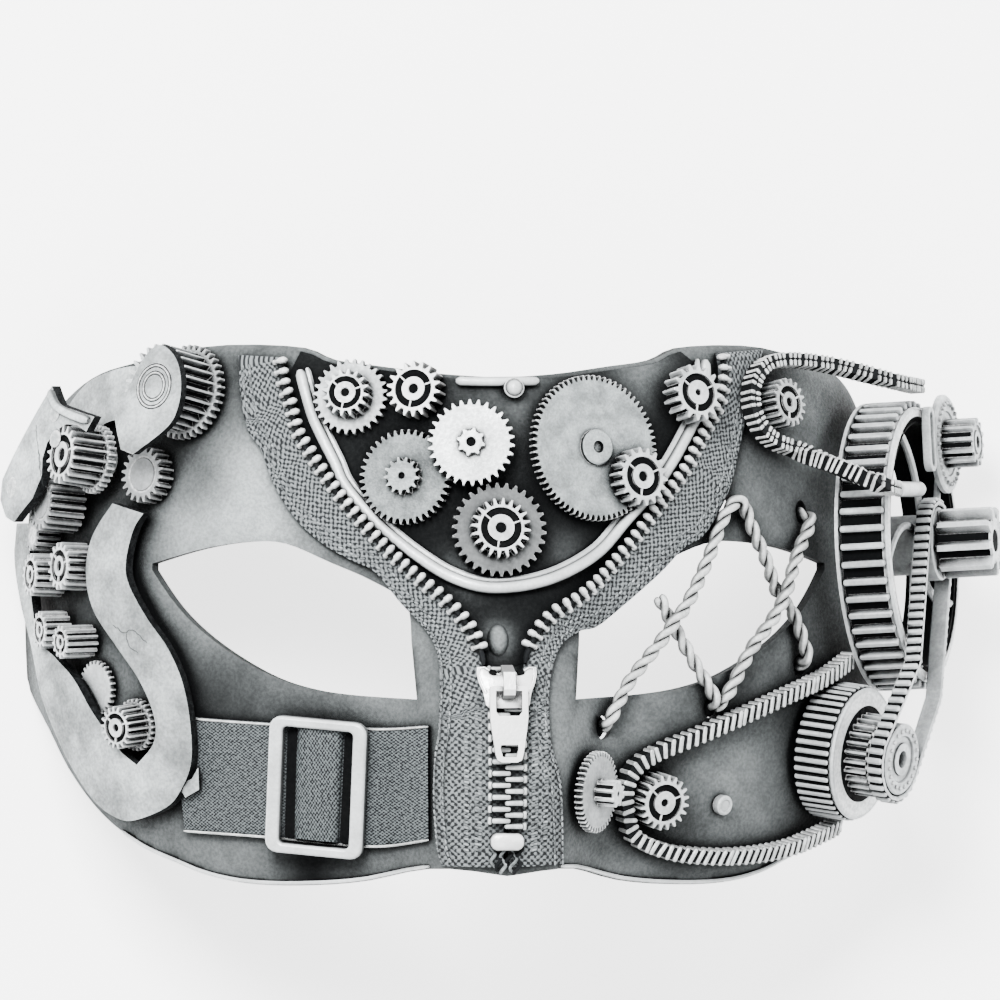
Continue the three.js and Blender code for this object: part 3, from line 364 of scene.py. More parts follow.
def sheet(outline, holes, low, high, cell=1.6, round_edge=0.0, bend=face_point):
    """A plate bent on the face: its shape, its unrolled places and how many faces aren't cut edges."""
    spots, faces, loops = flat_net(outline, holes, cell)
    tops, lows = lifted(high, spots), lifted(low, spots)
    if round_edge:
        near = np.clip(edge_distance(spots, loops) / round_edge, 0, 1)
        tops = tops - round_edge * (1 - np.sqrt(np.clip(1 - (1 - near) ** 2, 0, 1))) * 0.8
    count = len(spots)
    points = np.vstack([bend(spots[:, 0], spots[:, 1], tops), bend(spots[:, 0], spots[:, 1], lows)])
    kept = {}
    for a, b, c in faces:
        for edge in ((a, b), (b, c), (c, a)):
            kept[edge] = True
    shapes = [tuple(face) for face in faces] + [tuple(face[::-1] + count) for face in faces]
    plain = len(shapes)
    shapes += [(a, a + count, b + count, b) for a, b in kept if (b, a) not in kept]
    return (points, shapes), np.vstack([spots, spots]), plain


net = flat_net([(0, 0), (6, 0), (6, 4), (0, 4)], [], 1.5)
print("triangles that fill a plate of 6 by 4 mm:", len(net[1]))


# %% [markdown]
# A piece of the mask is one mesh object. Its faces meet with soft shading where they bend gently and with
# sharp edges elsewhere, it rides on a body of the model, and it stands for the solid nodes that it
# replaces.


# %% the piece collector
class Piece:
    def __init__(self, name):
        self.name, self.points, self.faces, self.kinds, self.flat, self.shades = name, [], [], [], [], []
        self.count = 0

    def add(self, shape, matrix=None, kind=0, flat=None, edge_from=None, edge_kind=1, shade=1.0):
        points, faces = shape
        points = placed(points, matrix) if matrix is not None else points
        self.points.append(points)
        self.flat.append(flat if flat is not None else np.zeros((len(points), 2)))
        self.shades.append(shade * np.ones(len(points)))
        self.faces += [tuple(int(i) + self.count for i in face) for face in faces]
        edge_from = len(faces) if edge_from is None else edge_from
        self.kinds += [kind] * edge_from + [edge_kind] * (len(faces) - edge_from)
        self.count += len(points)
        return self

    def make(self, finishes, nodes=(), slot=None, body="mask", sharp=38.0, bevel=0.0, flat_feet=False):
        mesh = bpy.data.meshes.new(self.name)
        points = np.vstack(self.points) * MM
        mesh.from_pydata(points.tolist(), [], self.faces)
        for finish in finishes:
            mesh.materials.append(finish)
        mesh.polygons.foreach_set("material_index", self.kinds)
        mesh.attributes.new("shade", "FLOAT", "POINT").data.foreach_set("value", np.concatenate(self.shades))
        flat = np.vstack(self.flat)
        if np.any(flat):
            layer = mesh.uv_layers.new(name="unrolled")
            corners = np.empty(len(mesh.loops), dtype=np.int32)
            mesh.loops.foreach_get("vertex_index", corners)
            layer.data.foreach_set("uv", flat[corners].ravel())
        shape = bmesh.new()
        shape.from_mesh(mesh)
        if flat_feet:
            everything = [*shape.verts, *shape.edges, *shape.faces]
            bmesh.ops.bisect_plane(shape, geom=everything, plane_co=(0, 0, 0), plane_no=(0, 0, 1),
                                   clear_inner=True)
            bmesh.ops.holes_fill(shape, edges=[edge for edge in shape.edges if edge.is_boundary], sides=0)
        bmesh.ops.recalc_face_normals(shape, faces=shape.faces)
        for face in shape.faces:
            face.smooth = True
        limit = math.radians(sharp)
        for edge in shape.edges:
            edge.smooth = len(edge.link_faces) == 2 and edge.calc_face_angle(0) < limit
        shape.to_mesh(mesh)
        shape.free()
        piece = bpy.data.objects.new(self.name, mesh)
        bpy.context.collection.objects.link(piece)
        if bevel:
            modifier = piece.modifiers.new("soft edges", "BEVEL")
            modifier.width, modifier.segments = bevel * MM, 2
            modifier.limit_method, modifier.angle_limit = "ANGLE", math.radians(50)
        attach(piece, body)
        if nodes:
            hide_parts(*nodes)
        print(f"{self.name}: {len(mesh.polygons)} faces")
        return piece


# %% [markdown]
# Antique silver is bright paint on what stands out and a black wash left in every corner. Ambient occlusion
# finds the corners and, looking inwards, the worn edges. The same darkening also paints the shade that falls
# beside raised pieces, and faces turned to the side are given painted shade. One node group turns these masks
# and two noises into a colour, a roughness and a fine relief, and every silver finish of the mask uses it
# with its own values.


# %% node helpers and the silver wash with its painted shade
def new_group(name, inputs, outputs):
    tree = bpy.data.node_groups.new(name, "ShaderNodeTree")
    for label, kind, value in inputs:
        socket = tree.interface.new_socket(label, in_out="INPUT", socket_type=kind)
        socket.default_value = value
    for label, kind in outputs:
        tree.interface.new_socket(label, in_out="OUTPUT", socket_type=kind)
    return tree, tree.nodes.new("NodeGroupInput"), tree.nodes.new("NodeGroupOutput")


def node(tree, kind, settings=None, **inputs):
    made = tree.nodes.new(kind)
    for key, value in (settings or {}).items():
        setattr(made, key, value)
    for label, value in inputs.items():
        socket = made.inputs[int(label[1:])] if label[0] == "i" and label[1:].isdigit() else \
            made.inputs[label.replace("_", " ")]
        if hasattr(value, "is_output"):
            tree.links.new(value, socket)
        else:
            socket.default_value = value
    return made


def maths(tree, operation, a, b=0.0):
    return node(tree, "ShaderNodeMath", {"operation": operation}, i0=a, i1=b).outputs[0]


def mixed(tree, share, a, b):
    return node(tree, "ShaderNodeMix", {"data_type": "RGBA"}, i0=share, i6=a, i7=b).outputs[2]


def spread(tree, value, low, high, to_low=0.0, to_high=1.0):
    mapped = node(tree, "ShaderNodeMapRange", {"interpolation_type": "SMOOTHSTEP"}, i0=value, i1=low, i2=high,
                  i3=to_low, i4=to_high)
    return mapped.outputs[0]


def noise(tree, vector, scale, detail=3.0, roughness=0.55):
    return node(tree, "ShaderNodeTexNoise", None, Vector=vector, Scale=scale, Detail=detail,
                Roughness=roughness).outputs[0]


wash, wash_in, wash_out = new_group(
    "silver wash and painted shade",
    [("Paint", "NodeSocketColor", (0.7, 0.7, 0.7, 1)), ("Wash And Shade", "NodeSocketColor", (0.02, 0.02, 0.02, 1)),
     ("Open", "NodeSocketFloat", 1.0), ("Edge", "NodeSocketFloat", 0.0), ("Mottle", "NodeSocketFloat", 0.3),
     ("Grain Scale", "NodeSocketFloat", 1500.0), ("Blotch Scale", "NodeSocketFloat", 110.0),
     ("Roughness", "NodeSocketFloat", 0.4), ("Side Dark", "NodeSocketFloat", 0.8),
     ("Side From", "NodeSocketFloat", 0.2), ("Side To", "NodeSocketFloat", 0.85)],
    [("Color", "NodeSocketColor"), ("Roughness", "NodeSocketFloat"), ("Height", "NodeSocketFloat")])
coordinates = node(wash, "ShaderNodeTexCoord")
place = coordinates.outputs["Object"]
# Painted shade: faces that turn away from straight out of the mask, such as the sides of teeth and plates,
# are darkened as if the light came from the front.
middle_line = tuple(value * MM for value in (-face_shift[0], 0, PLAN_DROP))
outward = node(wash, "ShaderNodeVectorMath", {"operation": "ADD"}, i0=place, i1=middle_line).outputs[0]
outward = node(wash, "ShaderNodeVectorMath", {"operation": "MULTIPLY"}, i0=outward, i1=(1, 0, 1)).outputs[0]
outward = node(wash, "ShaderNodeVectorMath", {"operation": "NORMALIZE"}, i0=outward).outputs[0]
facing = node(wash, "ShaderNodeVectorMath", {"operation": "DOT_PRODUCT"}, i0=outward,
              i1=coordinates.outputs["Normal"]).outputs["Value"]
brush_and_side_shade = spread(wash, facing, wash_in.outputs["Side From"], wash_in.outputs["Side To"])
brush_and_side_shade = maths(wash, "SUBTRACT", 1.0, maths(wash, "MULTIPLY", wash_in.outputs["Side Dark"],
                                             maths(wash, "SUBTRACT", 1.0, brush_and_side_shade)))
blotch = spread(wash, noise(wash, place, wash_in.outputs["Blotch Scale"], 5.0, 0.65), 0.3, 0.7)
grain = spread(wash, noise(wash, place, wash_in.outputs["Grain Scale"], 3.0, 0.6), 0.3, 0.7)
uneven = maths(wash, "MULTIPLY", maths(wash, "SUBTRACT", 1.0, blotch), wash_in.outputs["Mottle"])
fine = maths(wash, "MULTIPLY", maths(wash, "SUBTRACT", 1.0, grain), wash_in.outputs["Mottle"])
shown = maths(wash, "MULTIPLY", wash_in.outputs["Open"], brush_and_side_shade)
shown = maths(wash, "MULTIPLY", shown, maths(wash, "SUBTRACT", 1.0, uneven))
shown = maths(wash, "MULTIPLY", shown, maths(wash, "SUBTRACT", 1.0, maths(wash, "MULTIPLY", fine, 0.5)))
shown = node(wash, "ShaderNodeClamp", None, i0=shown).outputs[0]
colour = mixed(wash, shown, wash_in.outputs["Wash And Shade"], wash_in.outputs["Paint"])
worn = maths(wash, "MULTIPLY", wash_in.outputs["Edge"], spread(wash, grain, 0.35, 0.65, 0.5, 1.0))
colour = mixed(wash, worn, colour, (0.93, 0.94, 0.94, 1))
wash.links.new(colour, wash_out.inputs["Color"])
dull = maths(wash, "MULTIPLY", maths(wash, "SUBTRACT", 1.0, shown), 0.3)
dull = maths(wash, "ADD", wash_in.outputs["Roughness"], dull)
wash.links.new(maths(wash, "ADD", dull, maths(wash, "MULTIPLY", fine, 0.4)), wash_out.inputs["Roughness"])
wash.links.new(maths(wash, "ADD", grain, maths(wash, "MULTIPLY", blotch, 0.6)), wash_out.inputs["Height"])


def new_finish(name):
    finish = bpy.data.materials.new(name)
    finish.use_nodes = True
    tree = finish.node_tree
    return finish, tree, tree.nodes["Principled BSDF"]


print("node group made:", wash.name)

# %% [markdown]
# The silver finishes differ in a few values only: the paint, how far the black of the wash and of the painted
# shade reaches out of the corners, how mottled and how grainy the paint is, and how much the edges are worn.

# %% the silver finishes
# This black is the wash left in corners and also the painted shade beside raised pieces and on faces turned
# to the side.
WASH_AND_SHADE_BLACK = (0.0015, 0.0017, 0.0019)
EDGE_REACH = 0.35


def silver_finish(name, paint, reach=4.0, dark_at=0.25, light_at=0.85, mottle=0.3, grain=1500.0, blotch=110.0,
                  rough=0.4, metal=0.3, bump=0.12, edge=0.0, side=0.8):
    """Antique silver. reach is how far, in millimetres, a corner darkens what lies beside it, both as black
    wash and as painted shade; side is how much painted shade darkens faces turned to the side.
    """
    finish, tree, shader = new_finish(name)
    shade = node(tree, "ShaderNodeAmbientOcclusion", {"samples": 6}, Distance=reach * MM).outputs["AO"]
    inputs = {"Paint": (*paint, 1), "Wash And Shade": (*WASH_AND_SHADE_BLACK, 1), "Mottle": mottle, "Grain Scale": grain,
              "Blotch Scale": blotch, "Roughness": rough, "Side Dark": side}
    group = tree.nodes.new("ShaderNodeGroup")
    group.node_tree = wash
    for label, value in inputs.items():
        group.inputs[label].default_value = value
    # The shade attribute scales the paint's brightness in patches, some of which are painted shadows.
    shade_patches = node(tree, "ShaderNodeAttribute", {"attribute_name": "shade"}).outputs["Fac"]
    tree.links.new(maths(tree, "MULTIPLY", spread(tree, shade, dark_at, light_at), shade_patches),
                   group.inputs["Open"])
    if edge:
        inward = node(tree, "ShaderNodeAmbientOcclusion", {"samples": 4, "inside": True},
                      Distance=EDGE_REACH * MM)
        tree.links.new(spread(tree, inward.outputs["AO"], 0.75, 0.3, 0.0, edge), group.inputs["Edge"])
    tree.links.new(group.outputs["Color"], shader.inputs["Base Color"])
    tree.links.new(group.outputs["Roughness"], shader.inputs["Roughness"])
    relief = node(tree, "ShaderNodeBump", None, Strength=bump, Distance=0.0003,
                  Height=group.outputs["Height"])
    tree.links.new(relief.outputs[0], shader.inputs["Normal"])
    shader.inputs["Metallic"].default_value = metal
    shader.inputs["Specular IOR Level"].default_value = 0.05
    return finish


# The shell's long reach paints the shade that falls on it beside the glued pieces, on top of the wash.
shell_paint = silver_finish("shell silver", (0.42, 0.455, 0.46), reach=13.0, dark_at=0.5, light_at=0.98,
                            mottle=0.55, blotch=55.0, rough=0.42, bump=0.2)
gear_paint = silver_finish("gear silver", (0.66, 0.69, 0.70), reach=2.4, dark_at=0.48, light_at=0.86,
                           mottle=0.35, blotch=260.0, edge=0.6, side=0.35)
disc_paint = silver_finish("mottled disc silver", (0.44, 0.48, 0.485), reach=4.0, dark_at=0.5, light_at=0.97,
                           mottle=0.5, blotch=300.0, grain=2200.0, edge=0.7, bump=0.3)
plate_paint = silver_finish("plate silver", (0.58, 0.62, 0.625), reach=3.0, dark_at=0.45, light_at=0.95,
                            mottle=0.55, blotch=120.0, edge=0.5)
rough_edge = silver_finish("rough dark edge", (0.05, 0.055, 0.057), reach=2.0, dark_at=0.5, mottle=1.0,
                           blotch=900.0, grain=2600.0, rough=0.6, metal=0.1, bump=0.7, side=0.6)
smooth_silver = silver_finish("smooth silver", (0.72, 0.75, 0.755), reach=2.5, dark_at=0.5, light_at=0.93,
                              mottle=0.3, rough=0.34, edge=0.3)
white_silver = silver_finish("white silver", (0.92, 0.93, 0.93), reach=2.0, dark_at=0.5, light_at=0.88,
                             mottle=0.15, rough=0.3, edge=0.2)
belt_dark = silver_finish("washed belt", (0.01, 0.011, 0.012), reach=2.0, mottle=0.5, rough=0.6, metal=0.05)
rib_silver = silver_finish("belt ribs", (0.70, 0.73, 0.73), reach=1.5, dark_at=0.5, light_at=0.85, mottle=0.4,
                           blotch=500.0, edge=0.5, side=0.7)
rope_paint = silver_finish("rope silver", (0.74, 0.76, 0.755), reach=1.6, dark_at=0.6, light_at=0.95,
                           mottle=0.4, blotch=420.0, rough=0.55, metal=0.1, bump=0.3)
coarse_paint = silver_finish("coarse gear silver", (0.70, 0.73, 0.74), reach=4.5, dark_at=0.5, light_at=0.86,
                             mottle=0.3, blotch=200.0, rough=0.34, edge=0.5, side=0.2)
# Black for the wash in grooves and bores, and for painted shadows: the plugs in the lace holes, the strips
# beside the strap's fold and the inside of the drum wheel's ring.
black_wash_and_shade = silver_finish("black wash and painted shade", (0.002, 0.0022, 0.0024), reach=3.0, mottle=0.6, rough=0.6, metal=0.0)
stitch_paint = silver_finish("stitches", (0.36, 0.39, 0.40), reach=1.6, dark_at=0.4, light_at=0.92,
                             mottle=0.8, blotch=420.0, rough=0.6, metal=0.1)
print("silver finishes made")

# %% [markdown]
# The shell would be injection moulded as one piece: a half mask with a raised nose, two eye openings and
# small holes for the lacing. Its lower edge is rolled, and a thin tube of brighter silver along it is the
# rolled rim with its highlight painted in.

# %% the shell
half_outline = [
    *smooth(shares([(0, 0.371), (0.1, 0.378), (0.2, 0.39), (0.28, 0.4), (0.35, 0.421), (0.52, 0.423),
                    (0.7, 0.396), (0.8, 0.378), (0.9, 0.342), (1.05, 0.27)]), 30),
    *smooth(shares([(1.05, -0.12), (0.94, -0.185), (0.86, -0.258), (0.77, -0.325), (0.67, -0.375),
                    (0.585, -0.402), (0.52, -0.421), (0.44, -0.433), (0.34, -0.435), (0.23, -0.428),
                    (0.1, -0.405), (0, -0.416)]), 40)]
shell_outline = [*half_outline, *[point * [-1, 1] for point in half_outline[-2:0:-1]]]
EYE_TOP = [(0.02, -0.045), (0.04, 0.014), (0.16, 0.05), (0.3, 0.078), (0.46, 0.108), (0.6, 0.111),
           (0.78, 0.1), (1, 0.076)]
EYE_BOTTOM = [(1, 0.066), (0.87, 0.002), (0.72, -0.05), (0.53, -0.098), (0.38, -0.121), (0.22, -0.132),
              (0.0, -0.138)]


def eye_hole(inner, outer):
    place = [shares([(inner + share * (outer - inner), up) for share, up in rows])
             for rows in (EYE_TOP, EYE_BOTTOM)]
    return [*smooth(place[0], 28), *smooth(place[1], 26)]


ROPE_RADIUS = 1.2
LACE_HOLES = {"low": (0.167, -0.183), "top": (0.405, 0.168), "outer": (0.59, 0.158), "foot": (0.375, -0.152),
              "corner": (0.578, -0.088)}


def oval(along, up, wide, high, count=20):
    turns = np.arange(count) * 2 * math.pi / count
    return [(along + wide * math.cos(turn), up + high * math.sin(turn)) for turn in turns]


lace_ovals = [oval(along * REACH, up * REACH, ROPE_RADIUS + 0.7, ROPE_RADIUS + 1.1)
              for along, up in LACE_HOLES.values()]
eyes = [eye_hole(-0.13, -0.605), eye_hole(0.107, 0.655)]
# Lighter and darker patches on the shell; the dark ones by the drum wheel and beside the back gear are
# painted shadows.
SHELL_SHADES = [(-0.43, 0.13, 0.13, 0.75), (-0.38, 0.26, 0.06, 0.25), (-0.34, -0.2, 0.2, -0.12),
                (-0.13, -0.12, 0.08, 0.1), (0.2, -0.13, 0.09, 0.12), (0.1, -0.2, 0.06, 0.1),
                (0.56, 0.22, 0.12, 0.0), (0.66, 0.3, 0.08, 0.2), (0.42, -0.26, 0.06, 0.1),
                (-0.4, -0.4, 0.1, 0.1), (0.55, 0.0, 0.06, -0.1), (-0.95, 0.0, 0.1, 0.3),
                (0.02, -0.02, 0.07, -0.2), (-0.48, -0.13, 0.09, -0.2), (-0.33, -0.42, 0.09, -0.35),
                (0.9, 0.1, 0.16, -0.4), (0.62, 0.2, 0.08, 0.1), (-0.5, 0.21, 0.05, -0.45)]


def shaded(flat, patches, base):
    """Brightness of the colour at unrolled points: a base and soft patches of along, up, reach and amount,
    some of which are painted shadows.
    """
    shade = np.full(len(flat), base)
    for along, up, reach, amount in patches:
        away = np.hypot(flat[:, 0] - along * REACH, flat[:, 1] - up * REACH) / (reach * REACH)
        shade += amount * np.exp(-away ** 2)
    return np.clip(shade, 0, 1)


shell = Piece("shell")
shape, flat, walls_from = sheet(shell_outline, [*eyes, *lace_ovals], -WALL, 0, 1.9, round_edge=0.5)
shell.add(shape, flat=flat, edge_from=walls_from, edge_kind=0, shade=shaded(flat, SHELL_SHADES, 0.34))
shell.make([shell_paint], ["mask_shell"], "shell_paint", flat_feet=True, sharp=50)

# The rolled rim: a thin tube along the lower edge whose brighter silver is a painted highlight.
rolled = Piece("shell_rim")
for rows in (half_outline[38:69], [point * [-1, 1] for point in half_outline[44:68]]):
    path = resampled(rows, 1.0)
    rolled.add(tube_on_face(path + [0, 0.5], 0.1, 0.42, 8))
rolled.make([smooth_silver], slot="polished_silver")

# %% [markdown]
# Each glued gear is a plastic toy gear: a toothed disc, often with a tall pinion on it. The teeth taper to
# their tips. The faces have turned grooves, hubs and bores, which show as rings because the black wash
# stays in them.


# %% gear shapes
def gear_shape(teeth, radius, depth, low, high, face=(), bore=0.0, sink=2.0, tip=0.2, gap=0.34, bevel=0.14):
    """A toothed disc. face lists rings, outermost first, as shares of radius and depths below the top."""
    slope = (1 - tip - gap) / 2
    marks = [(0, radius - depth), (gap, radius - depth), (gap + slope, radius), (gap + slope + tip, radius)]
    turns = np.array([2 * math.pi * (i + share) / teeth for i in range(teeth) for share, _ in marks])
    reach = np.array([value for _ in range(teeth) for _, value in marks])
    rings = [ring(reach - bevel, low, turns), ring(reach, low + bevel, turns),
             ring(reach, high - bevel, turns), ring(reach - bevel, high, turns)]
    root = radius - depth - 2 * bevel
    rings.append(ring(np.full(len(turns), root), high, turns))
    for share, drop in face:
        if share * radius < root and share * radius > bore:
            rings.append(ring(np.full(len(turns), share * radius), high - drop, turns))
    if bore:
        last = high - (face[-1][1] if face else 0)
        rings.append(ring(np.full(len(turns), bore + 0.12), last, turns))
        rings.append(ring(np.full(len(turns), bore), last - 0.15, turns))
        rings.append(ring(np.full(len(turns), bore * 0.96), max(low + 0.1, last - sink), turns))
    return loft(rings)


def add_gear(piece, base, teeth, radius, depth, low, high, face, bore, shade=1.0, **form):
    """A gear with black in its bore and in its ring groove, which three bridges cross."""
    piece.add(gear_shape(teeth, radius, depth, low, high, face, bore, sink=3.0, **form), base, shade=shade)
    if high - low > 3:
        root = radius - depth + 0.12
        piece.add(turned([(root, low), (root, high - 0.45)], 32), base, kind=1)
    grooves = [share * radius for share, drop in face if drop >= DEEP]
    if grooves:
        outer, inner, floor = max(grooves) + 0.05, min(grooves) - 0.05, high - DEEP + 0.08
        rows = [(outer, floor - 0.2), (outer, floor), (inner, floor), (inner, floor - 0.2)]
        piece.add(turned(rows, 48, closed=True), base, kind=1)
        for turn in (20, 140, 260):
            bridge = moved(moved(base, turn=turn), (outer + inner) / 2, 0, high - DEEP)
            piece.add(block(outer - inner + 0.2, 0.32, DEEP - 0.1, 0.08, 0.1), bridge)
    if bore:
        piece.add(turned([(bore, high - 2.2), (bore * 0.98, high - 0.75)], 20), base, kind=1)


print("points of a disc with ten teeth:", len(gear_shape(10, 3, 0.6, 0, 1)[0]))

# %% [markdown]
# Each row gives a gear its place as a share of the face's reach, its radius and its teeth. A pinion on it is
# given by its teeth, its radius, how far it rises and its face.

# %% the gears
DEEP = 0.8
RINGED = ((0.69, 0), (0.68, DEEP), (0.45, DEEP), (0.44, 0))
FLAT_RINGED = ((0.68, 0), (0.67, DEEP), (0.43, DEEP), (0.42, 0))
HUBBED = ((0.86, 0), (0.82, 0.3), (0.6, 0.3), (0.57, 0.05))
DISHED = ((0.93, 0), (0.9, 0.35), (0.5, 0.35))
GEARS = {
    "panel_gear_a": dict(place=(-0.243, 0.339), radius=7.3, teeth=28, pinion=(16, 4.6, 4.2, RINGED),
                         shade=0.75),
    "panel_gear_b": dict(place=(-0.128, 0.348), radius=5.4, teeth=18, height=3.6, bore=0.95, face=FLAT_RINGED,
                         finish=white_silver),
    "panel_gear_c": dict(place=(-0.145, 0.212), radius=9.1, teeth=40, face=((0.9, 0), (0.89, 0.12)),
                         pinion=(13, 3.6, 2, ()), finish=disc_paint, shade=0.6),
    "panel_gear_d": dict(place=(-0.046, 0.263), radius=8.3, teeth=30, level=2.7, foot=3, bore=0.9,
                         face=((0.86, 0), (0.85, 0.15)), pinion=(8, 2.8, 1.2, ()), finish=smooth_silver),
    "panel_gear_e": dict(place=(0.143, 0.257), radius=14.0, teeth=70, boss=(3.4, 1.2), finish=disc_paint,
                         face=((0.94, 0), (0.935, 0.12)), shade=0.9),
    "panel_gear_g": dict(place=(0.322, 0.338), radius=5.5, teeth=16, level=2.6, foot=2.6, height=4.2,
                         bore=0.6, face=FLAT_RINGED),
    "panel_gear_h": dict(place=(-0.007, 0.128), radius=9.0, teeth=30, pinion=(20, 5.7, 3, RINGED),
                         shade=0.22),
    "nose_gear": dict(place=(0.128, -0.283), radius=7.8, teeth=42, lean=-3, pinion=(8, 2.6, 4, ()),
                      shade=0.7),
    "belt_pinion": dict(place=(0.265, -0.296), radius=5.3, teeth=20, height=5.2, bore=0.75, face=FLAT_RINGED),
    "belt_pulley": dict(place=(0.524, 0.326), radius=4.7, teeth=18, height=5.2, bore=0.9, face=FLAT_RINGED,
                        shade=0.7),
    "long_gear": dict(place=(-0.546, 0.347), radius=9.2, teeth=38, lean=-3, pinion=(24, 7.8, 8.2, HUBBED),
                      shade=0.6),
    "mid_gear": dict(place=(-0.712, 0.238), radius=6.6, teeth=30, lean=-8, level=2.2, foot=3,
                     pinion=(18, 5.6, 7, RINGED), bore=1.3),
    "back_gear": dict(place=(-0.606, 0.215), radius=5.4, teeth=20, height=3.4, face=HUBBED, shade=0.5),
    "under_gear": dict(place=(-0.8, 0.168), radius=5.4, teeth=18, height=7.4, lean=-6, face=HUBBED,
                       shade=0.6),
    "slot_gear_a": dict(place=(-0.872, 0.118), radius=3, teeth=12, height=5, face=DISHED, shade=0.6),
    "slot_gear_b": dict(place=(-0.762, 0.07), radius=4.6, teeth=16, height=5.6, lean=-6, bore=1,
                        face=FLAT_RINGED),
    "slot_gear_c": dict(place=(-0.838, 0.056), radius=4.1, teeth=15, height=6.4, lean=-6, bore=0.9,
                        face=FLAT_RINGED),
    "slot_gear_d": dict(place=(-0.822, -0.03), radius=3.6, teeth=14, height=5.4, lean=-6, bore=0.8,
                        face=FLAT_RINGED),
    "slot_gear_e": dict(place=(-0.744, -0.048), radius=3.2, teeth=13, height=6.8, lean=-6, bore=0.7,
                        face=FLAT_RINGED),
    "slot_gear_f": dict(place=(-0.727, -0.122), radius=5.2, teeth=26, height=1.1, face=DISHED, shade=0.9),
    "slot_gear_g": dict(place=(-0.633, -0.18), radius=5, teeth=26, pinion=(18, 4.1, 5, RINGED), shade=0.7),
}
gear_frames = {}
for name, row in GEARS.items():
    radius, teeth, height = row["radius"], row["teeth"], row.get("height", 1.6)
    level, foot, bore = row.get("level", 0.0), row.get("foot"), row.get("bore", 0.0)
    along, up = (share * REACH for share in row["place"])
    base = seat(along, up, foot or radius, level, row.get("lean", 0.0))
    gear_frames[name] = base
    piece = Piece(name)
    pinion = row.get("pinion")
    face = row.get("face", ())
    depth = 0.2 * radius if height > 3 else min(0.12 * radius, 1.0)
    add_gear(piece, base, teeth, radius, depth, 0, height, face, 0 if pinion else bore, row.get("shade", 1.0))
    if pinion:
        count, small, rise, face = pinion
        add_gear(piece, base, count, small, 0.22 * small, 0.5 * height, height + rise, face,
                 bore or 0.18 * small, tip=0.18, gap=0.42)
    if "boss" in row:
        piece.add(turned([(row["boss"][0], 0.5 * height), (row["boss"][0], height + row["boss"][1] - 0.3),
                          (row["boss"][0] - 0.3, height + row["boss"][1]), (1.2, height + row["boss"][1]),
                          (1.1, height + 0.3)], 40), base)
    if foot:
        piece.add(turned([(foot, -level), (foot, 0.5 * height)], 20), base)
    piece.make([row.get("finish", gear_paint), black_wash_and_shade], [name], "gear_silver", sharp=32)

on_large = moved(gear_frames["panel_gear_e"], 8, -6, 1.6 + GAP)
piece = Piece("panel_gear_f")
add_gear(piece, on_large, 18, 5.6, 1.0, 0, 3.4, FLAT_RINGED, 1.0)
piece.make([gear_paint, black_wash_and_shade], ["panel_gear_f"], "gear_silver", sharp=32)
boss = Piece("round_boss").add(turned([(1.9, 0), (1.9, 1.3), (1.6, 1.6), (1.2, 1.6), (1.05, 1.4)], 28),
                               seat(0.404 * REACH, -0.307 * REACH, 1.9))
boss.make([gear_paint], ["round_boss"], "gear_silver")

# %% [markdown]
# The zipper is a real metal one, opened above its slider and folded outwards over the nose and brow. Its
# tape is a coarse weave, dry-brushed with silver, so the threads that stand up are bright and the gaps are
# dark.

# %% the weave
weave, weave_in, weave_out = new_group(
    "dry-brushed weave",
    [("Place", "NodeSocketVector", (0, 0, 0)), ("Thread", "NodeSocketColor", (0.6, 0.6, 0.6, 1)),
     ("Gaps", "NodeSocketColor", (0.03, 0.03, 0.03, 1)), ("Across", "NodeSocketFloat", 1.6),
     ("Along", "NodeSocketFloat", 1.1), ("Contrast", "NodeSocketFloat", 1.0),
     ("Open", "NodeSocketFloat", 1.0), ("Speckle", "NodeSocketFloat", 1.6)],
    [("Color", "NodeSocketColor"), ("Height", "NodeSocketFloat")])
split = node(weave, "ShaderNodeSeparateXYZ", None, Vector=weave_in.outputs["Place"])
waver = noise(weave, weave_in.outputs["Place"], 0.9, 2.0)


def threads(place, count, sway):
    """Waves of thread across a direction, so many in a millimetre, that sway with the noise."""
    phase = maths(weave, "MULTIPLY", place, maths(weave, "MULTIPLY", count, 6.2832))
    return maths(weave, "SINE", maths(weave, "ADD", phase, maths(weave, "MULTIPLY", waver, sway)))


warp = threads(split.outputs[0], weave_in.outputs["Across"], 3.0)
weft = threads(split.outputs[1], weave_in.outputs["Along"], 2.0)
crossing = maths(weave, "MULTIPLY", warp, weft)
speckle = noise(weave, weave_in.outputs["Place"], weave_in.outputs["Speckle"], 2.0, 0.7)
height = maths(weave, "ADD", maths(weave, "MULTIPLY", crossing, 0.28), speckle)
brush_and_side_shade = spread(weave, height, 0.36, 0.66)
brush_and_side_shade = maths(weave, "MULTIPLY", brush_and_side_shade, weave_in.outputs["Contrast"])
brush_and_side_shade = node(weave, "ShaderNodeClamp", None, i0=brush_and_side_shade).outputs[0]
lit = maths(weave, "MULTIPLY", brush_and_side_shade, weave_in.outputs["Open"])
colour = mixed(weave, lit, weave_in.outputs["Gaps"], weave_in.outputs["Thread"])
weave.links.new(colour, weave_out.inputs["Color"])
weave.links.new(height, weave_out.inputs["Height"])


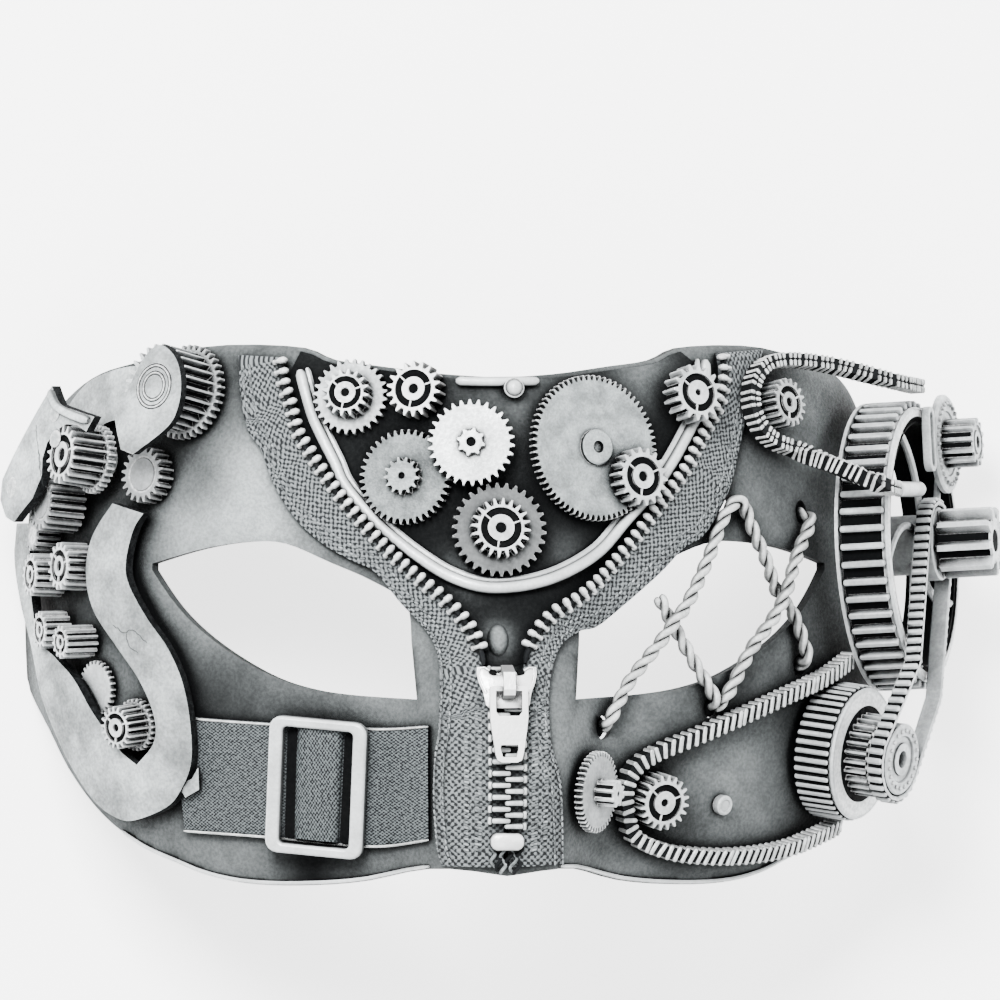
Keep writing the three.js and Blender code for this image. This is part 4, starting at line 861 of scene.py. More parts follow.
def woven_finish(name, thread, gaps, across, along, contrast):
    finish, tree, shader = new_finish(name)
    group = tree.nodes.new("ShaderNodeGroup")
    group.node_tree = weave
    for label, value in {"Thread": (*thread, 1), "Gaps": (*gaps, 1), "Across": across, "Along": along,
                         "Contrast": contrast}.items():
        group.inputs[label].default_value = value
    place = node(tree, "ShaderNodeUVMap", {"uv_map": "unrolled"}).outputs[0]
    tree.links.new(place, group.inputs["Place"])
    # Painted shade: the cloth is darker within 4 mm of the raised things on it and beside it.
    shade = node(tree, "ShaderNodeAmbientOcclusion", {"samples": 6}, Distance=0.004).outputs["AO"]
    tree.links.new(spread(tree, shade, 0.2, 0.85), group.inputs["Open"])
    tree.links.new(group.outputs["Color"], shader.inputs["Base Color"])
    relief = node(tree, "ShaderNodeBump", None, Strength=0.6, Distance=0.0004, Height=group.outputs["Height"])
    tree.links.new(relief.outputs[0], shader.inputs["Normal"])
    shader.inputs["Roughness"].default_value = 0.75
    shader.inputs["Metallic"].default_value = 0.1
    shader.inputs["Specular IOR Level"].default_value = 0.1
    return finish


tape_cloth = woven_finish("zipper tape", (0.33, 0.36, 0.37), (0.012, 0.013, 0.014), 0.9, 0.8, contrast=0.5)
strap_cloth = woven_finish("cheek strap", (0.13, 0.148, 0.152), (0.008, 0.009, 0.01), 1.1, 1.6, contrast=0.8)
print("woven finishes made:", tape_cloth.name, "and", strap_cloth.name)

# %% the zipper's tapes and stitches
ZIP_ALONG = -0.5
TAPE, TOOTH, TOOTH_PITCH = 1.1, 1.4, 2.1
TAPE_TOP = GAP + TAPE
SLIDER_TOP, SLIDER_BOTTOM, ZIP_FOOT = -0.0885 * REACH, -0.15 * REACH, -0.402 * REACH
STOP_END = CHAIN_END - 4.0
ROWS = {
    -1: shares([(-0.368, 0.404), (-0.356, 0.357), (-0.343, 0.33), (-0.327, 0.284), (-0.307, 0.255),
                (-0.288, 0.228), (-0.239, 0.167), (-0.183, 0.107), (-0.127, 0.058), (-0.083, 0.018),
                (-0.052, -0.023), (-0.036, -0.06), (-0.032, -0.083)]),
    1: shares([(0.411, 0.412), (0.411, 0.378), (0.394, 0.333), (0.364, 0.295), (0.334, 0.256), (0.315, 0.228),
               (0.259, 0.167), (0.205, 0.106), (0.147, 0.051), (0.097, 0.014), (0.07, -0.002),
               (0.047, -0.026), (0.028, -0.057), (0.022, -0.08)])}
EDGES = {
    -1: shares([(-0.45, 0.408), (-0.438, 0.344), (-0.419, 0.288), (-0.393, 0.257), (-0.37, 0.207),
                (-0.333, 0.153), (-0.29, 0.114), (-0.24, 0.084), (-0.199, 0.065), (-0.16, 0.019),
                (-0.101, -0.055), (-0.096, -0.17), (-0.102, -0.225), (-0.104, -0.293), (-0.099, -0.372),
                (-0.092, -0.4)]),
    1: shares([(0.523, 0.418), (0.5, 0.39), (0.469, 0.338), (0.427, 0.249), (0.417, 0.223), (0.393, 0.178),
               (0.347, 0.122), (0.307, 0.101), (0.259, 0.058), (0.158, -0.018), (0.115, -0.03),
               (0.078, -0.055), (0.06, -0.108), (0.056, -0.157), (0.059, -0.211), (0.072, -0.26),
               (0.078, -0.328), (0.082, -0.397)])}


def offset_line(line, distance):
    """A flat line moved sideways."""
    tangent = unit(np.gradient(line, axis=0))
    return line + distance * np.stack([-tangent[:, 1], tangent[:, 0]], axis=1)


def nearest(points, line):
    """How far along a line each point lies, and how far from it."""
    lengths = np.concatenate([[0], np.cumsum(np.linalg.norm(np.diff(line, axis=0), axis=1))])
    gaps = np.linalg.norm(points[:, None] - line[None], axis=2)
    best = gaps.argmin(axis=1)
    return lengths[best], gaps[np.arange(len(points)), best]


def bar_on_face(spot, turn, length, width, low, high, bevel=0.12):
    """A rounded bar glued flat on the face at a lift, turned from the along direction."""
    base = moved(face_frame(spot[0], spot[1], low), turn=turn)
    corner = min(length, width) * 0.45
    return block(length, width, high - low, bevel, corner), base


# Stitches run along the outer edge at two insets, and beside the closed chain at two reaches.
STITCH_ROWS, STITCH_PITCH, STITCH_TOP, STITCH_LOW = (1.1, 2.5), 1.2, 0.39 * REACH, TAPE_TOP - 0.2
SEAM_ROWS, SEAM_PITCH = ((4.3, 1.5), (6.0, 1.1)), 1.05
for side, name in ((-1, "left"), (1, "right")):
    inner = smooth(ROWS[side], 60)
    middle = ZIP_ALONG + side * GAP
    edge = smooth(EDGES[side], 70)
    outline = [*edge, (middle, ZIP_FOOT), (middle, SLIDER_BOTTOM), *(inner + [side * 0.3, 0])[::-1]]
    spine = np.vstack([inner, [(middle, SLIDER_BOTTOM), (middle, ZIP_FOOT)]])
    spine = resampled(spine, 0.25)
    ripple = np.random.default_rng(7).normal(0, 1, 6)

    def tape_height(x, y):
        wave = ripple[0] * np.sin(x * 0.9 + y * 0.5) + ripple[1] * np.sin(y * 1.3 - x * 0.4)
        wave = wave + ripple[2] * np.sin(x * 1.7)
        return TAPE_TOP + 0.06 * wave

    shape, flat, walls_from = sheet(outline, [], GAP * 0.3, tape_height, 1.1, round_edge=0.25)
    along, across = nearest(flat, spine)
    print(f"zipper_tape_{name}: {along.max():.0f} mm long, {across.max():.0f} mm at its widest")
    tape = Piece(f"zipper_tape_{name}")
    tape.add(shape, flat=np.stack([across, along], axis=1), edge_from=walls_from, edge_kind=0)
    tape.make([tape_cloth], [f"zipper_tape_{name}"], "zipper_tape", sharp=60)
    stitches = Piece(f"tape_stitches_{name}")
    for inset in STITCH_ROWS:
        line = resampled(offset_line(edge, -side * inset), STITCH_PITCH)
        for a, b in zip(line[:-1], line[1:]):
            spot, way = (a + b) / 2, b - a
            if spot[1] > STITCH_TOP:
                continue
            turn = math.degrees(math.atan2(way[1], way[0])) + 12
            stitches.add(*bar_on_face(spot, turn, 0.95, 0.42, STITCH_LOW, TAPE_TOP + 0.2))
    for up in np.arange(STOP_END, SLIDER_BOTTOM + 2, SEAM_PITCH):
        for reach, long in SEAM_ROWS:
            spot = (ZIP_ALONG + side * reach, up)
            stitches.add(*bar_on_face(spot, side * 14, long, 0.5, STITCH_LOW, TAPE_TOP + 0.15))
    stitches.make([stitch_paint], slot="zipper_tape")

# %% [markdown]
# Below the stop the tape's end is frayed: a few loose threads, silver and black by turns. The fan between the
# two rows of teeth is the shell's own ground, nearly black, as black wash and as the painted shade that falls
# among the gears, with a small raised drop where the rows come together.

# %% the frayed end and the panel's ground
frayed = Piece("frayed_end")
for i, across in enumerate((-2.4, -1.5, -0.6, 0.5, 1.4, 2.3)):
    ups = np.linspace(STOP_END + 0.3, ZIP_FOOT - 0.4 - 0.5 * (i % 3), 14)
    wave = across * np.linspace(1, 0.75, 14) + 0.45 * np.sin(ups * 1.9 + 2.1 * i)
    frayed.add(tube(face_point(ZIP_ALONG + wave, ups, TAPE_TOP + 0.35 + 0.2 * np.cos(ups * 1.9 + 2.1 * i)),
                    0.36, 7),
               kind=i % 2)
frayed.make([stitch_paint, belt_dark], slot="zipper_tape")

brow_line = np.array([point for point in half_outline[:31] if point[0] < 0.35 * REACH]) - [0, 0.7]
ground_rows = {side: smooth(ROWS[side], 50) for side in ROWS}
ground_rows = {side: rows[rows[:, 1] < 0.375 * REACH] for side, rows in ground_rows.items()}
ground_outline = [*ground_rows[-1], (ZIP_ALONG, SLIDER_TOP), *ground_rows[1][::-1], *brow_line[::-1],
                  *(brow_line[1:] * [-1, 1])]
shape, flat, walls_from = sheet(ground_outline, [], -0.3,
                                lambda x, y: 0.15 + 0.05 * np.sin(1.3 * x + 0.7 * y), 1.5)
# The ground is painted nearly black, as wash and as shade among the gears, with a few lighter patches.
ground_shades = [(0.02, 0.36, 0.09, 0.5), (-0.06, 0.06, 0.03, 0.35), (0.1, 0.09, 0.03, 0.15),
                 (-0.012, -0.044, 0.02, 0.5), (0.26, 0.38, 0.05, 0.4)]
ground = Piece("panel_ground")
ground.add(shape, flat=flat, edge_from=walls_from, edge_kind=0, shade=shaded(flat, ground_shades, 0.02))
points, faces = turned([(2.6, 0), (2.3, 0.5), (1.6, 0.9), (0.7, 1.1)], 20)
ground.add((points * [0.8, 1.25, 1], faces), face_frame(-1.4, -5.3), shade=0.5)
ground.make([shell_paint], slot="shell_paint", sharp=50)

# %% [markdown]
# The zipper's teeth are stamped metal, each clamped over the cord at the edge of its tape: a rounded head
# that meshes, a narrow shank and a smaller bead behind it. Each is three rounded bars. They are bright, and
# black lies between them.

# %% the teeth and the closed chain
TOOTH_LOW = TAPE_TOP + GAP
TOOTH_TOP = TOOTH_LOW + TOOTH
for side, name in ((-1, "left"), (1, "right")):
    line = smooth(ROWS[side], 400)
    lengths = np.concatenate([[0], np.cumsum(np.linalg.norm(np.diff(line, axis=0), axis=1))])
    count = round(lengths[-1] / TOOTH_PITCH) - 1
    teeth = Piece(f"zipper_teeth_{name}")
    for i in range(count):
        where = (i + 0.6) / (count + 1) * lengths[-1]
        spot = np.array([np.interp(where, lengths, line[:, k]) for k in range(2)])
        ahead = np.array([np.interp(where + 0.3, lengths, line[:, k]) for k in range(2)])
        tangent = unit(ahead - spot)
        normal = np.array([side * tangent[1], -side * tangent[0]])
        turn = math.degrees(math.atan2(normal[1], normal[0]))
        for reach, long, wide, low, high in ((0.45, 1.7, 1.15, 0, TOOTH), (0.0, 2.9, 0.75, 0, TOOTH - 0.12),
                                             (-1.2, 0.7, 0.95, -0.2, TOOTH - 0.35)):
            teeth.add(*bar_on_face(spot + normal * reach, turn, long, wide, TOOTH_LOW + low,
                                   TOOTH_LOW + high, 0.32))
    teeth.make([rib_silver], [f"zipper_teeth_{name}"], "zipper_teeth", sharp=60)
    cord_line = resampled(line, 1.0)
    cord = Piece(f"tooth_cord_{name}")
    cord.add(tube_on_face(cord_line + [side * 0.2, 0], TOOTH_LOW + 0.1, 0.55, 8))
    cord.make([belt_dark], slot="zipper_tape")

chain = Piece("zipper_chain")
CHAIN_START = SLIDER_TOP - 0.4
count = int((CHAIN_START - CHAIN_END) / TOOTH_PITCH * 2)
for i in range(count):
    up = CHAIN_START - (i + 0.5) * TOOTH_PITCH / 2
    side = 1 if i % 2 else -1
    chain.add(*bar_on_face((ZIP_ALONG + side * 1.0, up), 0, 3.6, 1.0, TOOTH_LOW, TOOTH_TOP, 0.25))
    chain.add(*bar_on_face((ZIP_ALONG + side * 2.6, up), 0, 0.8, 1.5, TOOTH_LOW, TOOTH_TOP - 0.2, 0.25))
chain.make([rib_silver], ["zipper_chain"], "zipper_teeth", sharp=60)
STOP_LENGTH = 3.4
stop = Piece("zipper_bottom_stop")
stop.add(*bar_on_face((ZIP_ALONG, CHAIN_END - GAP - STOP_LENGTH / 2), 0, 6.4, STOP_LENGTH, TOOTH_LOW,
                      TOOTH_TOP + 0.5, 0.45))
stop.make([white_silver], ["zipper_bottom_stop"], "zipper_bright", sharp=50)

# %% [markdown]
# The slider is a die-cast shield with two wings over the meshing teeth and a bridge on it. The pull tab
# hangs on its own bar under the bridge and swings about it, so it rides on a body of its own.

# %% the slider
SLIDER_LOW = TOOTH_TOP + GAP
SLIDER_HIGH = SLIDER_LOW + 1.0
SLIDER_WIDTH, PULL_UP, PULL_BAR, PULL_THICK = 9.6, -0.1325 * REACH, 1.3, 1.1
PULL_RISE = SLIDER_HIGH + GAP + 1.2
TUNNEL_TOP = PULL_RISE + math.hypot(PULL_BAR, PULL_THICK) / 2 + GAP
BRIDGE_TOP = TUNNEL_TOP + 0.9
wing = [(0.16, SLIDER_TOP - 1.0), (0.3, SLIDER_TOP - 0.4), (0.42, SLIDER_TOP + 0.4), (0.5, SLIDER_TOP + 0.3),
        (0.505, SLIDER_TOP - 1), (0.47, SLIDER_TOP - 2.6), (0.4, SLIDER_TOP - 4.4),
        (0.36, SLIDER_BOTTOM + 0.6), (0.3, SLIDER_BOTTOM)]
slider_outline = [(ZIP_ALONG, SLIDER_TOP), *[(ZIP_ALONG + x * SLIDER_WIDTH, up) for x, up in wing],
                  *[(ZIP_ALONG - x * SLIDER_WIDTH, up) for x, up in wing[::-1]]]
slider = Piece("zipper_slider")
shape, flat, walls_from = sheet(slider_outline, [], SLIDER_LOW, SLIDER_HIGH, 0.8, round_edge=0.35)
slider.add(shape, edge_from=walls_from, edge_kind=0)
for side in (-1, 1):
    for a, b in zip(wing[:6], wing[1:7]):
        spots = np.array([[ZIP_ALONG + side * (x * SLIDER_WIDTH - 0.45), up] for x, up in (a, b)])
        slider.add(tube_on_face(spots - [0, 0.15], SLIDER_HIGH - 0.15, 0.35, 8))
bridge_frame = face_frame(ZIP_ALONG, PULL_UP)
foot, head = SLIDER_BOTTOM + 0.5 - PULL_UP, SLIDER_TOP - 0.2 - PULL_UP
bridge_low = SLIDER_LOW + 0.5
profile = [(foot - 0.1, bridge_low), (foot, BRIDGE_TOP - 0.9), (foot + 0.9, BRIDGE_TOP),
           (head - 2.4, BRIDGE_TOP), (head, bridge_low), (head - 1.2, bridge_low),
           (head - 3, TUNNEL_TOP), (foot + 1.1, TUNNEL_TOP), (foot + 0.8, TUNNEL_TOP - 0.3),
           (foot + 0.8, bridge_low)]
shape, flat, walls_from = sheet(profile, [], -1.1, 1.1, 0.9, bend=flat_point)
upright = frame_of((0, 1, 0), (0, 0, 1), (1, 0, 0), (0, 0, 0))
slider.add(shape, bridge_frame @ upright, edge_from=walls_from, edge_kind=0)
for side in (-1, 1):
    slider.add(*bar_on_face((ZIP_ALONG + side * 2.1, SLIDER_TOP - 1.9), side * 20, 1.5, 1.1,
                            SLIDER_HIGH - 0.3, SLIDER_HIGH + 0.04), kind=1)
slider.make([white_silver, black_wash_and_shade], ["zipper_slider"], "zipper_bright", sharp=40, bevel=0.16)

# %% [markdown]
# The pull tab is a flat casting with two windows, and its upper end is the bar that it hangs on. It is
# drawn flat as half an outline and mirrored, then placed in a frame that runs from the bar to the tip,
# where it lies on the chain.

# %% the pull tab
PULL_LENGTH = 14.0
pull_tip = face_point(ZIP_ALONG, PULL_UP - PULL_LENGTH, TOOTH_TOP + GAP + 1.4)
pull_origin = placed(np.array([0, 0, PULL_RISE]), bridge_frame)
pull_y = unit(pull_origin - pull_tip)
pull_x = unit(bridge_frame[:3, 0] - pull_y * np.dot(bridge_frame[:3, 0], pull_y))
pull_frame = frame_of(pull_x, pull_y, np.cross(pull_x, pull_y), pull_origin)


def mirrored(half):
    return [*half, *[(-x, y) for x, y in half[::-1]]]


pull_outline = mirrored([(3.0, 0.46), (3.45, 0.36), (3.6, 0.1), (3.6, -5.5), (3.4, -7.4), (2.65, -12.4),
                         (2.3, -13.6), (1.5, -14)])
windows = [mirrored([(2.5, -0.46), (2.5, -4.4), (1.9, -5.2)]),
           mirrored([(1.6, -10.7), (1.75, -11.3), (1.3, -13.0)])]
shape, flat, walls_from = sheet(pull_outline, windows, -PULL_THICK / 2, PULL_THICK / 2, 1.2, round_edge=0.0,
                                bend=flat_point)
pull = Piece("zipper_pull_tab")
pull.add(shape, pull_frame, edge_from=walls_from, edge_kind=0)
pull.make([white_silver], ["zipper_pull_tab"], "zipper_bright", body="pull", sharp=40, bevel=0.22)

# %% [markdown]
# The open zipper frames a fan-shaped panel of gears. A smooth silver tube runs round the panel, with a
# second, thinner one inside it, and a short bar with a lens lies across its top.

# %% the panel's rim and bar
RIM_RADIUS, INNER_RIM_RADIUS, RIM_SPACE = 1.12, 0.65, 1.3
RIM_LIFT, INNER_RIM_LIFT = GAP + 1.04, GAP + 0.35
BAR_RADIUS, LENS_RADIUS = 0.9, 1.6
rim_rows = smooth(shares([(-0.333, 0.383), (-0.308, 0.316), (-0.29, 0.281), (-0.265, 0.236), (-0.25, 0.205),
                          (-0.219, 0.168), (-0.18, 0.128), (-0.128, 0.087), (-0.074, 0.054), (-0.017, 0.039),
                          (0.063, 0.051), (0.15, 0.092), (0.205, 0.145), (0.257, 0.195), (0.312, 0.262),
                          (0.365, 0.34), (0.378, 0.4)]), 120)
rim = Piece("panel_rim")
path = resampled(rim_rows, 0.8)
rim.add(tube_on_face(path, RIM_LIFT, RIM_RADIUS, 14))
path = resampled(offset_line(rim_rows, RIM_SPACE), 0.8)
rim.add(tube_on_face(path, INNER_RIM_LIFT, INNER_RIM_RADIUS, 8))
rim.make([smooth_silver], ["panel_rim"], "polished_silver")
bar = Piece("panel_bar")
path = smooth(shares([(-0.07, 0.366), (-0.02, 0.365), (0.06, 0.366)]), 20)
bar.add(tube_on_face(path, GAP + BAR_RADIUS, BAR_RADIUS, 14))
lens_at = face_frame(2.3, 0.352 * REACH, 2.1)
dome = [(LENS_RADIUS * math.cos(turn), LENS_RADIUS * math.sin(turn))
        for turn in np.radians([-60, -30, 0, 20, 40, 60, 80])]
bar.add(turned(dome, 24), lens_at)
bar.add(turned([(1.9, -0.6), (1.95, 0.1), (1.75, 0.3), (1.6, 0.2)], 24), lens_at)
bar.make([smooth_silver], ["panel_bar"], "polished_silver")

# %% [markdown]
# On the left temple flat pieces cut from sheet look like the arms of a clockwork: their faces are rubbed
# bright, and their cut edges are rough and dark. A long slot in the hook plate shows small gears below it.

# %% the raised plates
STRAP = 1.2
STRAP_TOP = GAP + STRAP
PLATE = 2.2
ARM_LOW, SIDE_LOW, HOOK_LOW = 11.2, 9.4, STRAP_TOP + GAP
hook_outline = [
    *smooth(shares([(-0.975, 0.14), (-0.976, 0.08), (-0.939, 0.012), (-0.896, -0.053), (-0.866, -0.133),
                    (-0.825, -0.198), (-0.786, -0.25), (-0.734, -0.303), (-0.687, -0.328), (-0.641, -0.334),
                    (-0.565, -0.312), (-0.528, -0.279), (-0.506, -0.234), (-0.505, -0.167), (-0.517, -0.107),
                    (-0.544, -0.055), (-0.583, -0.01), (-0.622, 0.045), (-0.628, 0.082), (-0.615, 0.13),
                    (-0.596, 0.156)]), 110),
    *smooth(shares([(-0.665, 0.172), (-0.71, 0.118), (-0.722, 0.06), (-0.702, 0.002), (-0.649, -0.055),
                    (-0.6, -0.111), (-0.574, -0.168), (-0.579, -0.21), (-0.619, -0.245)]), 50),
    *smooth(shares([(-0.65, -0.226), (-0.711, -0.164), (-0.758, -0.109), (-0.81, -0.075), (-0.868, -0.04),
                    (-0.9, 0.06), (-0.905, 0.14)]), 40)]
side_outline = shares([(-0.775, 0.36), (-0.748, 0.33), (-0.66, 0.31)])
mid_at = np.array([-0.712, 0.238]) * REACH
side_outline += [tuple(mid_at + 7.4 * np.array([math.cos(turn), math.sin(turn)]))
                 for turn in np.radians([52, 75, 100, 125, 150, 175, 200])]
side_outline += shares([(-0.79, 0.18), (-0.84, 0.142), (-0.868, 0.15), (-0.893, 0.178), (-0.893, 0.21),
                        (-0.83, 0.29)])
PLATES = {
    "hook_plate": (hook_outline, [], HOOK_LOW),
    "arm_link": (smooth(shares([(-0.585, 0.258), (-0.604, 0.316), (-0.588, 0.345), (-0.564, 0.4),
                                (-0.537, 0.424), (-0.505, 0.405), (-0.489, 0.366), (-0.49, 0.323),
                                (-0.507, 0.291), (-0.562, 0.25)]), 70), [], ARM_LOW),
    "side_plate": (side_outline, [], SIDE_LOW),
    "brow_plate": (smooth(shares([(-0.66, 0.392), (-0.72, 0.385), (-0.8, 0.36), (-0.86, 0.3), (-0.8, 0.26),
                                  (-0.72, 0.3), (-0.66, 0.31), (-0.632, 0.33), (-0.628, 0.385)]), 80), [],
                   GAP),
}
ETCHED = {"arm_link": [(-0.535, 0.358, 4.0), (-0.535, 0.358, 2.6)]}
BUMPS = {"side_plate": [(-0.752, 0.3, 1.6), (-0.742, 0.262, 1.7), (-0.852, 0.188, 2.0)]}
CRACKS = {"hook_plate": [[(-0.655, -0.02), (-0.63, -0.034), (-0.61, -0.03), (-0.58, -0.05)],
                         [(-0.625, -0.032), (-0.618, -0.055), (-0.6, -0.066)]],
          "side_plate": [[(-0.8, 0.3), (-0.77, 0.22), (-0.76, 0.2)]]}
LIPS = {"side_plate": [(-0.772, 0.352), (-0.748, 0.328), (-0.71, 0.314), (-0.668, 0.304)]}
FLAPS = {"hook_plate": [(-0.498, -0.248), (-0.5, -0.283), (-0.528, -0.296), (-0.54, -0.277),
                        (-0.512, -0.266)]}
PLATE_SHADES = {"hook_plate": ([(-0.6, -0.28, 0.09, 0.3), (-0.56, -0.1, 0.06, 0.2), (-0.68, 0.1, 0.07, 0.25),
                                (-0.9, -0.05, 0.1, 0.3), (-0.72, -0.22, 0.07, 0.15)], 0.62),
                "arm_link": ([(-0.54, 0.33, 0.06, 0.35)], 0.65),
                "side_plate": ([(-0.8, 0.25, 0.08, 0.3)], 0.7),
                "brow_plate": ([(-0.7, 0.35, 0.07, 0.25)], 0.6)}
for name, (outline, holes, low) in PLATES.items():
    plate = Piece(name)
    shape, flat, walls_from = sheet(outline, holes, low, low + PLATE, 1.5, round_edge=0.35)
    plate.add(shape, flat=flat, edge_from=walls_from, edge_kind=1, shade=shaded(flat, *PLATE_SHADES[name]))
    for along, up, radius in ETCHED.get(name, ()):
        for reach, lift, kind in ((radius, 0.02, 0), (radius - 0.3, -0.07, 1), (radius + 0.3, -0.07, 1)):
            circle_rows = np.array(oval(along * REACH, up * REACH, reach * 0.86, reach, 40))
            plate.add(tube_on_face(circle_rows, low + PLATE + lift, 0.16, 6, closed=True), kind=kind)
    for rows in CRACKS.get(name, ()):
        path = resampled(smooth(shares(rows), 20), 0.5)
        path += np.random.default_rng(3).normal(0, 0.09, path.shape)
        plate.add(tube_on_face(path, low + PLATE, 0.06, 5), kind=1)
    for along, up, radius in BUMPS.get(name, ()):
        dome = [(radius, -0.1), (0.9 * radius, 0.08), (0.7 * radius, 0.16), (0.3 * radius, 0.2)]
        plate.add(turned(dome, 24), face_frame(along * REACH, up * REACH, low + PLATE), shade=0.7)
    if name in FLAPS:
        shape, flat, walls_from = sheet(shares(FLAPS[name]), [], low + 0.6, low + 1.5, 0.8, round_edge=0.25)
        plate.add(shape, edge_from=walls_from, edge_kind=1)
    if name in LIPS:
        path = smooth(shares(LIPS[name]), 24)
        plate.add(tube_on_face(path, low + PLATE + 0.2, 0.85, 10))
    plate.make([plate_paint, rough_edge], [name], "plate_silver", sharp=50)

# %% [markdown]
# A band of webbing is glued across the cheek, and a frame buckle holds a fold of it up. The band is sewn
# flat, so it is a sheet that follows the face, with fine ribs across and a bright worn line along its upper
# edge.

# %% the strap
strap_edges = [smooth(shares(rows), 40) for rows in (
    [(-0.55, -0.166), (-0.367, -0.176), (-0.2, -0.183), (-0.112, -0.178)],
    [(-0.112, -0.362), (-0.21, -0.374), (-0.39, -0.36), (-0.55, -0.352)])]
strap_outline = [*strap_edges[0], *strap_edges[1]]
buckle_at = np.array([-0.293, -0.274]) * REACH
BUCKLE_TURN, BUCKLE_WIDTH, BUCKLE_HEIGHT, BUCKLE_THICK = -5.0, 19.4, 26.4, 2.0
strap = Piece("cheek_strap")
shape, flat, walls_from = sheet(strap_outline, [], GAP, STRAP_TOP, 1.5, round_edge=0.4)
strap.add(shape, flat=flat, edge_from=walls_from, edge_kind=0)
c, s = math.cos(math.radians(BUCKLE_TURN)), math.sin(math.radians(BUCKLE_TURN))
FOLD_WIDTH, FOLD_HEIGHT, FOLD_THICK = 8.8, 21.2, 1.7
corners = [(x * FOLD_WIDTH / 2, y * FOLD_HEIGHT / 2) for x, y in ((-1, -1), (1, -1), (1, 1), (-1, 1))]
fold_outline = [buckle_at + [c * x - s * y, s * x + c * y] for x, y in corners]


def fold_height(x, y):
    across = (x - buckle_at[0]) * c + (y - buckle_at[1]) * s
    return STRAP_TOP + FOLD_THICK * np.sqrt(np.clip(1 - (across / 4.7) ** 4, 0, 1))


shape, flat, walls_from = sheet(fold_outline, [], STRAP_TOP - 0.2, fold_height, 0.9)
turned_flat = np.stack([flat[:, 1], flat[:, 0]], axis=1)
strap.add(shape, flat=turned_flat, edge_from=walls_from, edge_kind=0)
strap.make([strap_cloth], ["cheek_strap"], "woven_strap", sharp=60)
hem = Piece("strap_hem_and_shadows")
for rows, inwards in zip(strap_edges, (-0.3, 0.3)):
    path = resampled(rows, 1.0)
    hem.add(tube_on_face(path + [0, inwards], STRAP_TOP - 0.05, 0.26, 6))
# Two black strips on the band beside the fold are painted shadows in the buckle's window.
for across in (-5.6, 5.8):
    spot = buckle_at + [c * across, s * across]
    hem.add(*bar_on_face(spot, BUCKLE_TURN, 2.2, 21.4, STRAP_TOP - 0.2, STRAP_TOP + 0.12), kind=1)
hem.make([rope_paint, black_wash_and_shade], slot="woven_strap")


# %% [markdown]
# The buckle is a plain cast frame that stands on the band. It is a flat plate with one window, both with
# round corners, and a bevel softens its edges. It isn't bent, because a cast frame stays flat on a curved
# face.


# %% the buckle
def round_box(width, height, corner, steps=5):
    points = []
    for sx, sy, start in [(1, 1, 0), (-1, 1, 90), (-1, -1, 180), (1, -1, 270)]:
        for turn in np.radians(np.linspace(0, 90, steps) + start):
            points.append((sx * (width / 2 - corner) + corner * math.cos(turn),
                           sy * (height / 2 - corner) + corner * math.sin(turn)))
    return points


buckle_frame = moved(face_frame(*buckle_at, STRAP_TOP + GAP), turn=BUCKLE_TURN)
shape, flat, walls_from = sheet(round_box(BUCKLE_WIDTH, BUCKLE_HEIGHT, 2.4),
                                [round_box(BUCKLE_WIDTH - 5.4, BUCKLE_HEIGHT - 3.8, 0.9)], 0, BUCKLE_THICK,
                                1.2, bend=flat_point)
buckle = Piece("strap_buckle").add(shape, buckle_frame, edge_from=walls_from, edge_kind=0)
buckle.make([smooth_silver], ["strap_buckle"], "polished_silver", sharp=40, bevel=0.5)

# %% [markdown]
# The lacing is two-ply cord, painted with the rest, that goes through the small holes and crosses over the
# right eye. It is taut and glued, so it is made whole: two round strands wound about the route.


# %% the lacing
def centripetal(points, count):
    """The solid model's kind of curve, a centripetal Catmull-Rom one, sampled evenly in its parameter."""
    points = np.asarray(points, float)
    padded = np.vstack([2 * points[0] - points[1], points, 2 * points[-1] - points[-2]])
    samples = []
    for place in np.linspace(0, len(points) - 1, count + 1):
        i = min(int(place), len(points) - 2)
        t = place - i
        p0, p1, p2, p3 = padded[i:i + 4]
        d0, d1, d2 = (max(np.linalg.norm(b - a) ** 0.5, 1e-4) for a, b in ((p0, p1), (p1, p2), (p2, p3)))
        v1 = ((p1 - p0) / d0 - (p2 - p0) / (d0 + d1) + (p2 - p1) / d1) * d1
        v2 = ((p2 - p1) / d1 - (p3 - p1) / (d1 + d2) + (p3 - p2) / d2) * d1
        samples.append(p1 + v1 * t + (-3 * p1 + 3 * p2 - 2 * v1 - v2) * t**2
                       + (2 * p1 - 2 * p2 + v1 + v2) * t**3)
    return np.array(samples)


STRANDS, STRAND_STEP, TWIST_PITCH = 2, 0.35, 7.0


def twisted(path, radius):
    """The strands of a rope along a line."""
    path = resampled(path, STRAND_STEP)
    tangents, sideways, outs = along_frames(path)
    reach = np.arange(len(path)) * STRAND_STEP
    parts = []
    for strand in range(STRANDS):
        turn = 2 * math.pi * (reach / TWIST_PITCH + strand / STRANDS)
        middle = path + 0.5 * radius * (np.cos(turn)[:, None] * sideways + np.sin(turn)[:, None] * outs)
        parts.append(tube(middle, 0.64 * radius, 9))
    return parts


